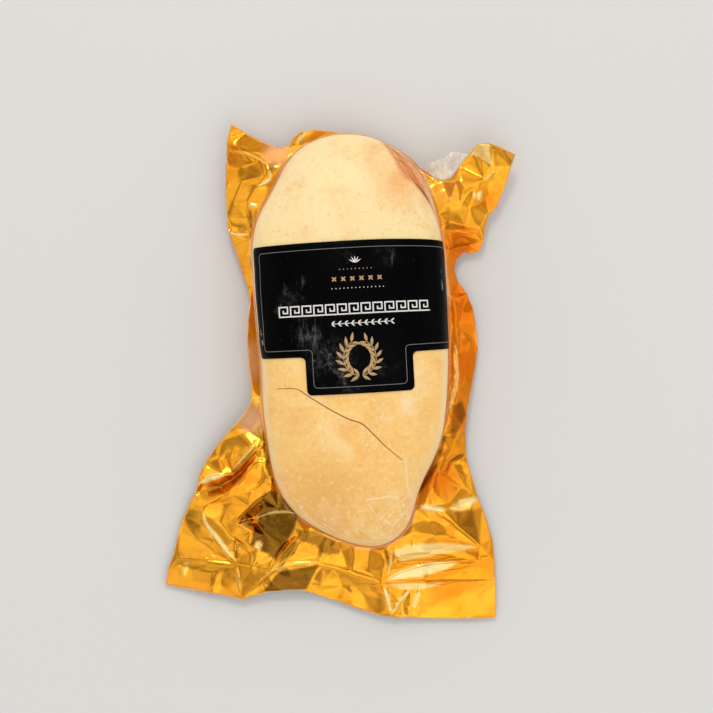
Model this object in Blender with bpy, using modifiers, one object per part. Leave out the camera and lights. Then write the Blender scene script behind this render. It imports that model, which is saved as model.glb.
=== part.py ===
"""Raw goose foie gras in its vacuum pouch, lying flat with the label up.

The liver is one big lobe. Under it lies the gold foil back of the pouch, which turns up round the
lobe and spreads into a crumpled flange. The clear front film follows the top of the lobe and then
the foil, and a black T-shaped label is stuck on it. All sizes are in millimetres until a mesh is
made. +Y is the blunt end of the liver, +X the right side seen from above, and the origin is the
middle of the flat underside.
"""
import math
import random

import bmesh
import bpy
import numpy as np
from mathutils.geometry import delaunay_2d_cdt

MM = 0.001

# The liver: a squared-off ellipsoid on an uneven outline, seen from above
LOBE_OUTLINE = [
    (50.6, -8), (49.6, 21), (47.8, 48), (45, 64), (42, 74), (38.5, 85), (31, 93.8), (20.5, 101),
    (9, 105.6), (-3, 106.6), (-14, 105), (-24.5, 100), (-32.5, 92), (-37.5, 82), (-43, 71.5),
    (-48, 62), (-50.3, 50), (-49.5, 31), (-47.8, 10), (-45.6, -12), (-44.7, -33), (-42.5, -50),
    (-40, -66), (-35.5, -79), (-27.5, -89.5), (-14, -98.2), (0, -104), (11.5, -106.3), (22, -103.5),
    (30, -95.5), (33.3, -85), (37, -73), (43.5, -60.5), (48, -46), (50, -28),
]
LOBE_MIDDLE = 22.0
LOBE_RISE = 26.0
LOBE_DEPTH = 23.0
LOBE_SQUARENESS = 2.8
TIP_DROP = 6.0
TIP_START = 20.0
TIP_END = -107.0
LUMP_HEIGHT = 0.8
LUMP_ACROSS = 17.0
LUMP_ALONG = 23.0
LUMP_SLANTED = 13.0
COLUMNS = 64
RINGS = 22

# The films of the pouch, and the gaps between the layers
FOIL_THICKNESS = 0.4
FILM_THICKNESS = 0.2
LAYER_GAP = 0.45
LOBE_FLOOR = FOIL_THICKNESS + LAYER_GAP
DISH_LATITUDES = (-65, -54, -43, -33, -25, -18)
LANDING_REACH = 1.3
LANDING_SHARE = 0.45
LANDING_HEIGHT = 14.0
TUCKED_HEIGHT = 9.0
TUCKED_WIDTH = 9.0
TUCKED_LEAST = 0.2

# How the flange runs from the lobe to the cut edge
FLANGE_SWEEP = 1.5
FLANGE_LOWEST = 1.5
FOLD_SHARPNESS = 1.3
STEEPEST_LIFT = 0.4

# The cut edge of the pouch (x, y, height), from its top right corner round to the left of the flap
POUCH_EDGE = [
    (61.5, 96.5, 15), (66, 102, 18), (71.5, 102, 20), (79, 99.5, 18), (85.5, 96.5, 15), (83.5, 90, 13),
    (81.5, 83, 12), (78.5, 75.5, 10), (76, 69, 8), (72, 65, 8), (70, 58, 8), (69.5, 52, 6.5),
    (67.5, 47, 6), (63.5, 45.5, 5), (59, 46, 6), (55.5, 42, 5), (54.5, 37, 4.5), (56.5, 30.5, 5),
    (61, 24.5, 6), (64, 17.5, 7), (65.5, 8.5, 5.5), (66.5, -4.5, 3.5), (65, -15.5, 4),
    (63, -26.5, 5.5), (61, -37, 6.5), (60, -47.5, 6.5), (60.5, -59.5, 5), (63, -69, 4.5),
    (66, -79.5, 5), (70.5, -90.5, 4), (74, -102, 3), (75.5, -115, 3), (76, -125, 2.5),
    (76, -144, 2.5), (60, -144.5, 3.5), (44.5, -144.5, 2.5), (34, -144, 4.5), (27, -144, 3),
    (21.5, -143.5, 6), (14, -142.5, 3), (2.5, -139, 3.5), (-8, -135, 3), (-18, -131.5, 5),
    (-26, -129.5, 7), (-34.5, -129.5, 7.5), (-42.5, -130.5, 6.5), (-49.5, -132.5, 5),
    (-56.5, -134.5, 5.5), (-65, -132.5, 4), (-75.5, -131, 4.5), (-85.5, -129, 2.5),
    (-96.5, -127, 2.5), (-95, -119, 3), (-92, -111.5, 3.5), (-89.5, -101, 3), (-86.5, -91, 3),
    (-83.5, -83.5, 3), (-80.5, -79, 3.5), (-79, -74.5, 8), (-78.5, -70.5, 8), (-75.5, -63.5, 5.5),
    (-71, -56.5, 6.5), (-67, -51.5, 8), (-61, -44.5, 8.5), (-55.5, -38, 9), (-51.3, -31.5, 11),
    (-50.8, -24.5, 14), (-52.2, -13, 16), (-53.2, -2, 16), (-52.7, 10, 15), (-51.6, 20.5, 12),
    (-53, 27.5, 9), (-56, 36, 7.5), (-58.5, 43.5, 7), (-61.5, 51.5, 7), (-63, 56.5, 8),
    (-64, 65, 8), (-64.5, 78.5, 9), (-64, 93, 10), (-63.5, 105, 12), (-61.5, 112.5, 14),
    (-54, 108, 12), (-45.5, 103.5, 9.5), (-38, 100.5, 8), (-31.5, 101.5, 8), (-29.5, 105.5, 11),
    (-25.5, 108.5, 13), (-18.5, 109.5, 13), (-12, 108.8, 10), (-4, 108, 8.5), (6, 107.4, 8.5),
    (14.5, 105, 8.5), (22.6, 101, 8.5), (31, 95.3, 9), (37.3, 89, 11),
]
# Top right, the clear film reaches past the foil in a small flap
FLAP_EDGE = [(41.5, 92, 15), (47, 94.5, 17), (52.5, 97.5, 18), (57.5, 97, 17)]
FOIL_NOTCH = [(43.5, 84.5, 11), (48, 83, 11), (52.5, 84.5, 12), (56.5, 90, 13)]

# Creases of the flange: lift at the first and last point, reach to either side, points (x, y)
FOLDS = {
    "fin_crease": (3, 2, 9, [(-61, 102.5), (-55.5, 98), (-46.5, 93.5), (-41.5, 90)]),
    "fin_tick": (3.5, 2, 8, [(-41.5, 90), (-43.5, 85.5), (-48, 80), (-53, 72.5), (-53, 63.5)]),
    "waist_dip": (-2.5, -2, 3, [(-61, 60), (-54, 59)]),
    "waist_crease": (3, 2, 6, [(-61.5, 56), (-57.5, 55), (-52.5, 54.5)]),
    "corner_crest": (3, 3, 9, [(72, 100), (74, 89.5)]),
    "corner_valley": (-2, 0, 6, [(63, 95.5), (68, 94), (73, 90.5)]),
    "corner_ridge": (3, 5, 8, [(74, 89.5), (69, 84), (64, 79)]),
    "knot_left": (5, 1.5, 8, [(64, 79), (59.5, 80.5), (55, 82.5)]),
    "knot_right": (5, 2, 5, [(64, 79), (67, 77.5), (67.5, 71.5)]),
    "panel_edge": (5, 2.5, 8, [(64, 79), (62.5, 69.5), (60, 59.5)]),
    "step_top": (2.5, 2, 7, [(51.5, 61.5), (60, 59.5), (67.5, 58.5)]),
    "step_foot": (-2.5, -2, 5, [(52, 56.5), (64.5, 54.5)]),
    "step_low": (2, 2, 5, [(53, 48), (62.5, 50)]),
    "side_streak": (3, 2.5, 5, [(54.5, 21.5), (56, 8), (56, -5.5), (56, -18)]),
    "side_fold": (2, 3, 5, [(62.5, -4.5), (59, -16), (56.5, -28), (53.5, -37)]),
    "side_ridge": (2, 5, 6, [(59, -45.5), (54.5, -52), (51, -60), (46, -70), (41.5, -78)]),
    "side_dip": (1, -2, 5, [(58.5, -58), (52.5, -64.5)]),
    "knee_ridge": (3, 5, 10, [(38.5, -86), (42.5, -85.5), (48.5, -88), (56, -95.5), (68, -106.5)]),
    "shine_ridge": (3, 2, 6, [(51.5, -84), (55.5, -82.5), (64, -80)]),
    "fan_rib": (5, 3, 8, [(68, -106.5), (65.5, -97), (63.5, -89)]),
    "fan_top": (5, 2.5, 8, [(68, -106.5), (55.5, -103), (43.5, -101), (33, -99.5)]),
    "fan_low": (-1, -2, 5, [(60, -109), (42, -110.5), (24, -112)]),
    "hem_line": (2.5, 1, 6, [(21.5, -115.5), (36.5, -115.5), (66.5, -115.5)]),
    "tip_ridge": (3, 3.5, 6, [(18, -111), (17.5, -118), (16, -125.5)]),
    "vee": (3.5, 2, 8, [(16, -125.5), (19.5, -134.5), (21, -141)]),
    "seal_right": (3.5, 1, 6, [(16, -125.5), (39, -125.5), (65, -125)]),
    "seal_mid": (2, 3.5, 7, [(-42.5, -120), (-33, -116.5), (-20, -115.5), (-8, -118), (16, -125.5)]),
    "seal_left": (1, 2, 6, [(-89.5, -112.5), (-75, -114), (-60, -116.5), (-51, -118.5), (-42.5, -120)]),
    "long_ridge": (5, 2, 8, [(-25.5, -99), (-35, -110.5), (-42.5, -120), (-50, -127.5)]),
    "long_valley": (-2.5, -1, 4, [(-31, -102), (-40.5, -113.5)]),
    "pocket_edge": (4, 6, 6, [(-41, -77.5), (-45.5, -81), (-52, -85.5), (-59, -94)]),
    "pocket_floor": (-3, -3, 7, [(-44, -87), (-50, -92), (-44, -101), (-36, -105)]),
    "pocket_lip": (6, 2, 6, [(-59, -94), (-50.5, -99), (-52.5, -104.5), (-48, -108), (-42, -110)]),
    "knee_left": (5, 2, 7, [(-76.5, -86), (-76.5, -90.5), (-71, -99.5), (-65.5, -108.5), (-60, -116.5)]),
    "band_top": (3, 4, 8, [(-76, -71), (-66, -69.5), (-60.5, -69), (-56.5, -65.5), (-49.5, -56)]),
    "band_floor": (-3, -3, 5, [(-77, -78.5), (-68, -75.5), (-62, -72.5), (-56.5, -68), (-49, -59)]),
    "band_low": (5, 4, 7, [(-76.5, -86), (-64.5, -79.5), (-58, -74.5), (-53.5, -69.5), (-49.5, -63)]),
    "upper_panel": (1, 2, 6, [(-68, -61), (-60.5, -55.5), (-56.5, -48.5)]),
}
CRUMPLE_SPACING = 8.0
CRUMPLE_HEIGHT = 0.5
CRUMPLE_SEED = 11

# The label: a wide bar with a tab under it, turned a little on the pack. The bar reaches to the
# left and right of the tab's middle, and lies on the lobe down to its sides
LABEL_LEFT = 56.0
LABEL_RIGHT = 58.0
LABEL_BAR = 58.0
LABEL_TAB_WIDTH = 54.5
LABEL_TAB = 19.5
LABEL_CORNER = 2.5
LABEL_THICKNESS = 0.25
LABEL_TOP = (1.5, 50.8)
LABEL_TURN = math.radians(3.2)
LABEL_SPACING = 6.5

PARTS = "goose_foie_gras"


def smooth_loop(points, steps=16):
    """A closed Catmull-Rom curve through the points, as one row for each step."""
    p1 = np.array(points, dtype=float)
    p0 = np.roll(p1, 1, axis=0)
    p2 = np.roll(p1, -1, axis=0)
    p3 = np.roll(p1, -2, axis=0)
    rows = []
    for t in np.arange(steps) / steps:
        rows.append(0.5 * (2 * p1 + (p2 - p0) * t + (2 * p0 - 5 * p1 + 4 * p2 - p3) * t ** 2
                           + (3 * p1 - p0 - 3 * p2 + p3) * t ** 3))
    return np.stack(rows, axis=1).reshape(-1, p1.shape[1])


OUTLINE = smooth_loop(LOBE_OUTLINE)
OUTLINE_LENGTH = np.concatenate(
    [[0], np.cumsum(np.linalg.norm(np.roll(OUTLINE, -1, axis=0) - OUTLINE, axis=1))])
OUTLINE_ANGLE = np.arctan2(OUTLINE[:, 1], OUTLINE[:, 0])
OUTLINE_RADIUS = np.hypot(OUTLINE[:, 0], OUTLINE[:, 1])


def outline_at(fraction):
    """The point of the lobe's outline at this fraction of its length."""
    closed = np.vstack([OUTLINE, OUTLINE[:1]])
    length = fraction * OUTLINE_LENGTH[-1]
    return np.array([np.interp(length, OUTLINE_LENGTH, closed[:, axis]) for axis in (0, 1)])


def share_of_radius(x, y):
    """0 at the middle of the lobe and 1 on its outline."""
    radius = np.interp(np.arctan2(y, x), OUTLINE_ANGLE, OUTLINE_RADIUS, period=2 * math.pi)
    return np.hypot(x, y) / radius


def lobe_rise(x, y):
    """Height of the lobe's top above its widest level before it rounds down, with soft lumps."""
    lumps = np.sin(x / LUMP_ACROSS + 0.6) * np.sin(y / LUMP_ALONG - 0.4)
    lumps = LUMP_HEIGHT * (lumps + 0.5 * np.sin((x + y) / LUMP_SLANTED))
    towards_tip = np.clip((TIP_START - y) / (TIP_START - TIP_END), 0, 1)
    return LOBE_RISE - TIP_DROP * towards_tip ** 2 + lumps


def lobe_point(fraction, latitude):
    """A point of the lobe's skin: fraction goes round it, latitude from -90 under it to 90."""
    angle = math.radians(latitude)
    share = abs(math.cos(angle)) ** (2 / LOBE_SQUARENESS)
    level = abs(math.sin(angle)) ** (2 / LOBE_SQUARENESS)
    x, y = outline_at(fraction) * share
    if latitude < 0:
        return np.array([x, y, max(LOBE_MIDDLE - LOBE_DEPTH * level, LOBE_FLOOR)])
    return np.array([x, y, LOBE_MIDDLE + lobe_rise(x, y) * level])


def lobe_field(x, y, z):
    """1 on the lobe's skin, less inside it and more outside."""
    half = lobe_rise(x, y) if z > LOBE_MIDDLE else LOBE_DEPTH
    return share_of_radius(x, y) ** LOBE_SQUARENESS + abs((z - LOBE_MIDDLE) / half) ** LOBE_SQUARENESS


def off_the_lobe(point, gap):
    """The point moved out from the lobe's skin by the gap."""
    step = 0.2
    slope = np.zeros(3)
    for axis in range(3):
        ahead, behind = np.array(point), np.array(point)
        ahead[axis] += step
        behind[axis] -= step
        slope[axis] = lobe_field(*ahead) - lobe_field(*behind)
    if point[2] <= LOBE_FLOOR:
        slope = np.array([0, 0, -1.0])
    return point + slope / np.linalg.norm(slope) * gap


def dome_height(x, y):
    """Height of the lobe's top above the plane it lies on."""
    share = np.clip(share_of_radius(x, y), 0, 1)
    return LOBE_MIDDLE + lobe_rise(x, y) * (1 - share ** LOBE_SQUARENESS) ** (1 / LOBE_SQUARENESS)


def distance_to_line(points, line, closed=False):
    """For each point: its distance to the line, and how far along it the nearest place is (0 to 1)."""
    line = np.array(line, dtype=float)[:, :2]
    if closed:
        line = np.vstack([line, line[:1]])
    start, run = line[:-1], line[1:] - line[:-1]
    along = np.concatenate([[0], np.cumsum(np.linalg.norm(run, axis=1))])
    offset = points[:, None, :2] - start[None]
    t = np.clip((offset * run).sum(2) / (run ** 2).sum(1), 0, 1)
    distance = np.linalg.norm(offset - t[..., None] * run, axis=2)
    nearest = distance.argmin(axis=1)
    rows = np.arange(len(points))
    place = along[nearest] + t[rows, nearest] * (along[nearest + 1] - along[nearest])
    return distance[rows, nearest], place / along[-1]


def inside(point, polygon):
    """True if the point lies inside the closed polygon, both seen from above."""
    x, y = point[:2]
    hit = False
    for (x0, y0, *_), (x1, y1, *_) in zip(polygon, polygon[1:] + polygon[:1]):
        if (y0 > y) != (y1 > y) and x < x0 + (y - y0) / (y1 - y0) * (x1 - x0):
            hit = not hit
    return hit


def triangles_between(points, lines, keep):
    """Triangles over the points that follow the lines, where keep says yes to their middles."""
    flat = [tuple(float(value) for value in point[:2]) for point in points]
    verts, _, faces, origins, _, _ = delaunay_2d_cdt(flat, lines, [], 0, 1e-6)
    source = [origin[0] for origin in origins]
    kept = []
    for face in faces:
        middle = sum(np.array(verts[corner]) for corner in face) / 3
        if keep(middle):
            kept.append(tuple(source[corner] for corner in face))
    return kept


def landing_loop():
    """Where the film meets the foil, just outside the lobe, one point for each column."""
    loop = []
    for column in range(COLUMNS):
        here = outline_at(column / COLUMNS)
        ahead, behind = outline_at((column + 0.5) / COLUMNS), outline_at((column - 0.5) / COLUMNS % 1)
        side = (ahead - behind)[::-1] * (1, -1)
        width = distance_to_line(here[None], POUCH_EDGE + FLAP_EDGE, closed=True)[0][0]
        reach = min(LANDING_REACH, LANDING_SHARE * width)
        openness = min(width / TUCKED_WIDTH - TUCKED_LEAST, 1)
        height = TUCKED_HEIGHT + (LANDING_HEIGHT - TUCKED_HEIGHT) * openness
        loop.append((*(here + side / np.linalg.norm(side) * reach), height))
    return loop


def flange_height(points, edge, landing):
    """Height of the flange: a slope from the lobe down to the cut edge, with the creases on it."""
    to_edge, place = distance_to_line(points, edge, closed=True)
    to_landing, _ = distance_to_line(points, landing, closed=True)
    ring = np.array(edge + edge[:1], dtype=float)
    along = np.concatenate([[0], np.cumsum(np.linalg.norm(np.diff(ring[:, :2], axis=0), axis=1))])
    edge_height = np.interp(place * along[-1], along, ring[:, 2])
    share = to_edge / np.maximum(to_edge + to_landing, 1e-6)
    height = edge_height + (LANDING_HEIGHT - edge_height) * share ** FLANGE_SWEEP
    crest = np.zeros(len(points))
    trough = np.zeros(len(points))
    for first, last, reach, line in FOLDS.values():
        distance, place = distance_to_line(points, line)
        nearness = np.clip(1 - distance / reach, 0, 1)
        lift = (first + (last - first) * place) * nearness ** FOLD_SHARPNESS
        crest = np.maximum(crest, lift)
        trough = np.minimum(trough, lift)
    return height + crest + trough


def flange():
    """Points of the flange, and the triangles of the foil and of the film's flap over them."""
    landing = landing_loop()
    film_edge = POUCH_EDGE + FLAP_EDGE
    points = landing + film_edge + FOIL_NOTCH
    edge_start = len(landing)
    notch_start = edge_start + len(film_edge)
    lines = [(i, (i + 1) % COLUMNS) for i in range(COLUMNS)]
    lines += [(edge_start + i, edge_start + (i + 1) % len(film_edge)) for i in range(len(film_edge))]
    notch = [edge_start + len(POUCH_EDGE) - 1, *range(notch_start, len(points)), edge_start]
    lines += list(zip(notch, notch[1:]))
    free_start = len(points)
    places = {}
    for _, _, _, line in FOLDS.values():
        for place in line:
            places.setdefault(place, free_start + len(places))
        lines += [(places[a], places[b]) for a, b in zip(line, line[1:])]
    free = list(places)

    shuffle = random.Random(CRUMPLE_SEED)
    fixed = np.array([point[:2] for point in points] + free)
    low = np.array(film_edge)[:, :2].min(axis=0)
    high = np.array(film_edge)[:, :2].max(axis=0)
    for x in np.arange(low[0], high[0], CRUMPLE_SPACING):
        for y in np.arange(low[1], high[1], CRUMPLE_SPACING):
            place = (x + shuffle.uniform(0, 5), y + shuffle.uniform(0, 5))
            clear = np.linalg.norm(fixed - place, axis=1).min() > CRUMPLE_SPACING / 2
            if clear and inside(place, film_edge) and not inside(place, landing):
                free.append(place)
    heights = flange_height(np.array(free), film_edge, landing)
    for number, (place, height) in enumerate(zip(free, heights)):
        shake = shuffle.uniform(-1, 1) * CRUMPLE_HEIGHT if number >= len(places) else 0
        points.append((*place, max(height + shake, FLANGE_LOWEST)))

    flap = [POUCH_EDGE[-1]] + FLAP_EDGE + [POUCH_EDGE[0]] + FOIL_NOTCH[::-1]
    foil_faces = triangles_between(
        points, lines,
        lambda middle: inside(middle, film_edge) and not inside(middle, landing)
        and not inside(middle, flap))
    flap_faces = triangles_between(points, lines, lambda middle: inside(middle, flap))
    return points, foil_faces, flap_faces


def ring_faces(rings):
    """Four-sided faces between rows of vertex numbers, each row a closed ring."""
    faces = []
    for outer, inner in zip(rings, rings[1:]):
        for i in range(COLUMNS):
            j = (i + 1) % COLUMNS
            faces.append((outer[i], outer[j], inner[j], inner[i]))
    return faces


def new_object(name, verts, faces, material):
    """A mesh object in the part's collection, from points in millimetres."""
    mesh = bpy.data.meshes.new(name)
    mesh.from_pydata([tuple(float(value) * MM for value in vert) for vert in verts], [], faces)
    mesh.materials.append(material)
    mesh.shade_smooth()
    mesh.set_sharp_from_angle(angle=math.radians(25))
    obj = bpy.data.objects.new(name, mesh)
    bpy.data.collections[PARTS].objects.link(obj)
    return obj


def thicken(obj, thickness, outward):
    """Gives an open sheet its thickness, to the side its faces look at or to the other side."""
    solidify = obj.modifiers.new("thickness", "SOLIDIFY")
    solidify.thickness = thickness * MM
    solidify.offset = 1 if outward else -1
    solidify.use_rim = True


def finish(name, color, roughness, metallic=0.0, alpha=1.0):
    """A plain Principled material."""
    material = bpy.data.materials.new(name)
    material.use_nodes = True
    shader = material.node_tree.nodes["Principled BSDF"]
    shader.inputs["Base Color"].default_value = (*color, 1)
    shader.inputs["Roughness"].default_value = roughness
    shader.inputs["Metallic"].default_value = metallic
    shader.inputs["Alpha"].default_value = alpha
    return material


def make_liver():
    """The lobe: a UV sphere drawn out to the outline and squared off."""
    sphere = bmesh.new()
    bmesh.ops.create_uvsphere(sphere, u_segments=COLUMNS, v_segments=RINGS, radius=1)
    for vert in sphere.verts:
        turn = math.atan2(vert.co.y, vert.co.x) / (2 * math.pi) % 1
        latitude = math.degrees(math.asin(max(-1, min(1, vert.co.z))))
        vert.co = lobe_point(turn, latitude) * MM
    bmesh.ops.recalc_face_normals(sphere, faces=sphere.faces)
    mesh = bpy.data.meshes.new("liver")
    sphere.to_mesh(mesh)
    sphere.free()
    mesh.materials.append(finish("raw_liver", (0.94, 0.66, 0.36), 0.45))
    mesh.shade_smooth()
    bpy.data.collections[PARTS].objects.link(bpy.data.objects.new("liver", mesh))


def make_foil(points, faces):
    """The gold back: flat under the lobe, up its lower side, and out into the flange."""
    verts = list(points)
    rings = [list(range(COLUMNS))]
    for latitude in reversed(DISH_LATITUDES):
        rings.append(list(range(len(verts), len(verts) + COLUMNS)))
        for column in range(COLUMNS):
            verts.append(off_the_lobe(lobe_point(column / COLUMNS, latitude), LAYER_GAP))
    faces = list(faces) + ring_faces(rings) + [tuple(rings[-1])]
    foil = new_object("gold_foil", verts, faces, finish("gold_foil", (0.86, 0.45, 0.06), 0.25, 1.0))
    thicken(foil, FOIL_THICKNESS, outward=False)


def film_lift(points, faces):
    """How far the film lies above each point of the foil, more where the foil is steep."""
    normals = np.zeros((len(points), 3))
    corners = np.array(points, dtype=float)
    for face in faces:
        a, b, c = corners[list(face)]
        normals[list(face)] += np.cross(b - a, c - a)
    upright = np.abs(normals[:, 2]) / np.maximum(np.linalg.norm(normals, axis=1), 1e-9)
    return LAYER_GAP / np.clip(upright, STEEPEST_LIFT, 1)


def make_film(points, foil_faces, flap_faces):
    """The clear front: skin-tight over the lobe, then down on the foil, with the small flap."""
    flange_faces = list(foil_faces) + list(flap_faces)
    lift = film_lift(points, flange_faces)
    verts = [(x, y, z + up) for (x, y, z), up in zip(points, lift)]
    rings = [list(range(COLUMNS))]
    for step in range(RINGS // 2):
        latitude = step * 180 / RINGS
        rings.append(list(range(len(verts), len(verts) + COLUMNS)))
        for column in range(COLUMNS):
            verts.append(off_the_lobe(lobe_point(column / COLUMNS, latitude), LAYER_GAP))
    top = len(verts)
    verts.append((0, 0, dome_height(0, 0) + LAYER_GAP))
    faces = flange_faces + ring_faces(rings)
    faces += [(rings[-1][i], rings[-1][(i + 1) % COLUMNS], top) for i in range(COLUMNS)]
    film = new_object("clear_film", verts, faces, finish("clear_film", (0.9, 0.9, 0.9), 0.08, 0.0, 0.25))
    thicken(film, FILM_THICKNESS, outward=True)


def label_outline():
    """The T, corner by corner with round corners, across from its middle and down from its top."""
    tab = LABEL_TAB_WIDTH / 2
    full = LABEL_BAR + LABEL_TAB
    corners = [(LABEL_RIGHT, 0), (-LABEL_LEFT, 0), (-LABEL_LEFT, -LABEL_BAR), (-tab, -LABEL_BAR),
               (-tab, -full), (tab, -full), (tab, -LABEL_BAR), (LABEL_RIGHT, -LABEL_BAR)]
    outline = []
    for i, corner in enumerate(corners):
        here = np.array(corner)
        back = np.array(corners[i - 1]) - here
        ahead = np.array(corners[(i + 1) % len(corners)]) - here
        back, ahead = back / np.linalg.norm(back), ahead / np.linalg.norm(ahead)
        for angle in np.linspace(0, math.pi / 2, 4):
            place = here + LABEL_CORNER * (back * (1 - math.sin(angle)) + ahead * (1 - math.cos(angle)))
            outline.append(tuple(place))
    return outline


def with_steps(outline, spacing):
    """The closed outline with extra points on its long sides."""
    result = []
    for a, b in zip(outline, outline[1:] + outline[:1]):
        count = max(1, round(math.dist(a, b) / spacing))
        result += [tuple(np.array(a) + (np.array(b) - a) * k / count) for k in range(count)]
    return result


def wrap(across, down):
    """Where a point of the flat label lies on the pack: its arc length is measured over the lobe."""
    side = np.array([math.cos(LABEL_TURN), math.sin(LABEL_TURN)])
    foot = np.array(LABEL_TOP) + down * np.array([-side[1], side[0]])
    heading = side if across >= 0 else -side
    tries = np.linspace(0, LABEL_LEFT + LABEL_RIGHT, 400)
    ray = foot + np.outer(tries, heading)
    edge = np.interp(1, share_of_radius(ray[:, 0], ray[:, 1]), tries)
    path = foot + np.outer(edge * np.sin(np.linspace(0, math.pi / 2, 160)), heading)
    heights = dome_height(path[:, 0], path[:, 1])
    steps = np.hypot(np.linalg.norm(np.diff(path, axis=0), axis=1), np.diff(heights))
    arc = np.concatenate([[0], np.cumsum(steps)])
    x, y, z = (np.interp(abs(across), arc, row) for row in (path[:, 0], path[:, 1], heights))
    return off_the_lobe(np.array([x, y, z]), 2 * LAYER_GAP + FILM_THICKNESS)


def make_label():
    """The black label, stuck on the film and bent with it over the shoulders of the lobe."""
    outline = with_steps(label_outline(), LABEL_SPACING)
    points = list(outline)
    columns = round((LABEL_LEFT + LABEL_RIGHT) / LABEL_SPACING)
    rows = round((LABEL_BAR + LABEL_TAB) / LABEL_SPACING)
    for i in range(1, columns):
        for j in range(1, rows):
            place = ((LABEL_LEFT + LABEL_RIGHT) * i / columns - LABEL_LEFT,
                     -(LABEL_BAR + LABEL_TAB) * j / rows)
            clear = distance_to_line(np.array([place]), outline, closed=True)[0][0] > LABEL_SPACING / 3
            if clear and inside(place, outline):
                points.append(place)
    lines = [(i, (i + 1) % len(outline)) for i in range(len(outline))]
    faces = triangles_between(points, lines, lambda middle: inside(middle, outline))
    verts = [wrap(*point) for point in points]
    label = new_object("label", verts, faces, finish("label_black", (0.012, 0.011, 0.013), 0.3))
    thicken(label, LABEL_THICKNESS, outward=True)


def main():
    for obj in list(bpy.data.objects):
        bpy.data.objects.remove(obj, do_unlink=True)
    collection = bpy.data.collections.new(PARTS)
    bpy.context.scene.collection.children.link(collection)
    points, foil_faces, flap_faces = flange()
    make_liver()
    make_foil(points, foil_faces)
    make_film(points, foil_faces, flap_faces)
    make_label()


main()
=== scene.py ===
"""Raw goose foie gras in its vacuum pouch: the looks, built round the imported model.

The liver, the gold foil back, the clear film and the black label each replace their plain solid.
Lengths in the tables below are millimetres on the pack, seen from above: +X to the right, +Y to the
blunt end of the liver. They are turned into metres where a mesh is made.
"""
import math

import bmesh
import bpy
import numpy as np
from bpy.props import FloatProperty, FloatVectorProperty, IntProperty, PointerProperty
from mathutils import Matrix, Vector
from mathutils.bvhtree import BVHTree
from mathutils.geometry import delaunay_2d_cdt


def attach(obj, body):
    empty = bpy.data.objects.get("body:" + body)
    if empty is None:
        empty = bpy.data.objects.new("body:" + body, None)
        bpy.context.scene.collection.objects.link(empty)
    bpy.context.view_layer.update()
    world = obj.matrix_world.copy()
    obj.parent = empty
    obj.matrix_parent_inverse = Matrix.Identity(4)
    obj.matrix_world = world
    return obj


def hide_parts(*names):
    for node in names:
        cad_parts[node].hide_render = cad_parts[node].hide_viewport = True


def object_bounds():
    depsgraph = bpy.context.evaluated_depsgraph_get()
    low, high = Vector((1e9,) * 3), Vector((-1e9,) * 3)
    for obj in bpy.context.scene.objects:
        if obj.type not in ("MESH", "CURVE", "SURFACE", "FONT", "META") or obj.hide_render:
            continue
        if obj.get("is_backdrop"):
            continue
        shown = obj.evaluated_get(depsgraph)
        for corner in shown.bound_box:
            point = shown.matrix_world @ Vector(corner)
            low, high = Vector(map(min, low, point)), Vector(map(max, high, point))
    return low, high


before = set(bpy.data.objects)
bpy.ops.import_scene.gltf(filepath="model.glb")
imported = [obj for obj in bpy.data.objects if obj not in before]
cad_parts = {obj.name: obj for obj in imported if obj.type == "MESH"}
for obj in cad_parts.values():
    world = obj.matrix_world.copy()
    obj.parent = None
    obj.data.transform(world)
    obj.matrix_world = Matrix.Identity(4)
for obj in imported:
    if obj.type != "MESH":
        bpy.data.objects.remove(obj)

bl_info = {
    "name": "Goose Liver Pack",
    "version": (1, 0, 0),
    "blender": (4, 5, 0),
    "location": "3D View > Sidebar > Liver Pack",
    "description": "Dresses a vacuum-packed raw goose liver: flesh, foil, film, label and studio",
    "category": "Add Mesh",
}

MM = 0.001
BODY = "root"
MERGE = 1e-6
# An edge up to this many times as long as a sheet is thick runs across the sheet's rim
RIM_MARGIN = 1.02

# The widest level of the lobe, where its side is upright
LOBE_MIDDLE = 22.0
# Below this height, or further out than this, the film lies on the flange
WALL_FOOT = 12.0
WALL_REACH = 1.0
# The bend from which an edge of the foil or of the film is a sharp fold
FOIL_BEND = math.radians(17)
FILM_BEND = math.radians(16)
# From where a sheet's rays are cast down on what it lies on, in metres
RAY_START = 0.1

# Marks on the flesh
CRACK = [(-36.8, -24.5), (-27.2, -24.5), (-21.2, -28), (-10.5, -34.6), (-0.9, -39.6), (6.2, -42.2),
         (12.3, -47.7), (17.8, -53.3), (26.9, -60.9)]
SHOULDER_FOLD = [(19.1, 101.5), (24.1, 95.7), (27.6, 89.1), (32, 82.1), (38.4, 74.9), (42.7, 67.1),
                 (46.3, 57.1)]
BAND_EDGE = [(14.5, 102), (18.3, 97.8), (21.8, 92.2), (25.6, 84.6), (31.3, 79.5), (35.6, 74.4),
             (39.4, 69.3), (43.4, 61.6), (45.8, 54)]
PALE_STREAK = [(-11, -45.5), (1.1, -57.4)]

# Patches of colour on the flesh: middle, radius, strength
PEACH_PATCHES = [((24, 79), 19, 0.75), ((26, 83), 9, 0.5), ((12, 92), 12, 0.3), ((-2, 62), 11, 0.25),
                 ((-22, 55), 7, 0.35)]
CREAM_PATCHES = [((35.5, 70.5), 8, 1.0), ((37, 62), 8, 0.5), ((-12, 62), 20, 0.3), ((36, -20), 13, 0.45),
                 ((30, -33), 8, 0.9)]
BLUSH_PATCHES = [((31, -84), 7, 0.45), ((-37, -72), 12, 0.4), ((-10, -97), 13, 0.5), ((13, 100), 9, 0.4)]
TAN_PATCHES = [((-12, -78), 27, 0.45), ((14, -38), 13, 0.4), ((-26, -40), 12, 0.2)]
AMBER_PATCHES = [((-2.6, -45), 10, 0.8), ((5.5, -55), 9, 0.45), ((38, 2), 10, 0.3)]

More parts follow.
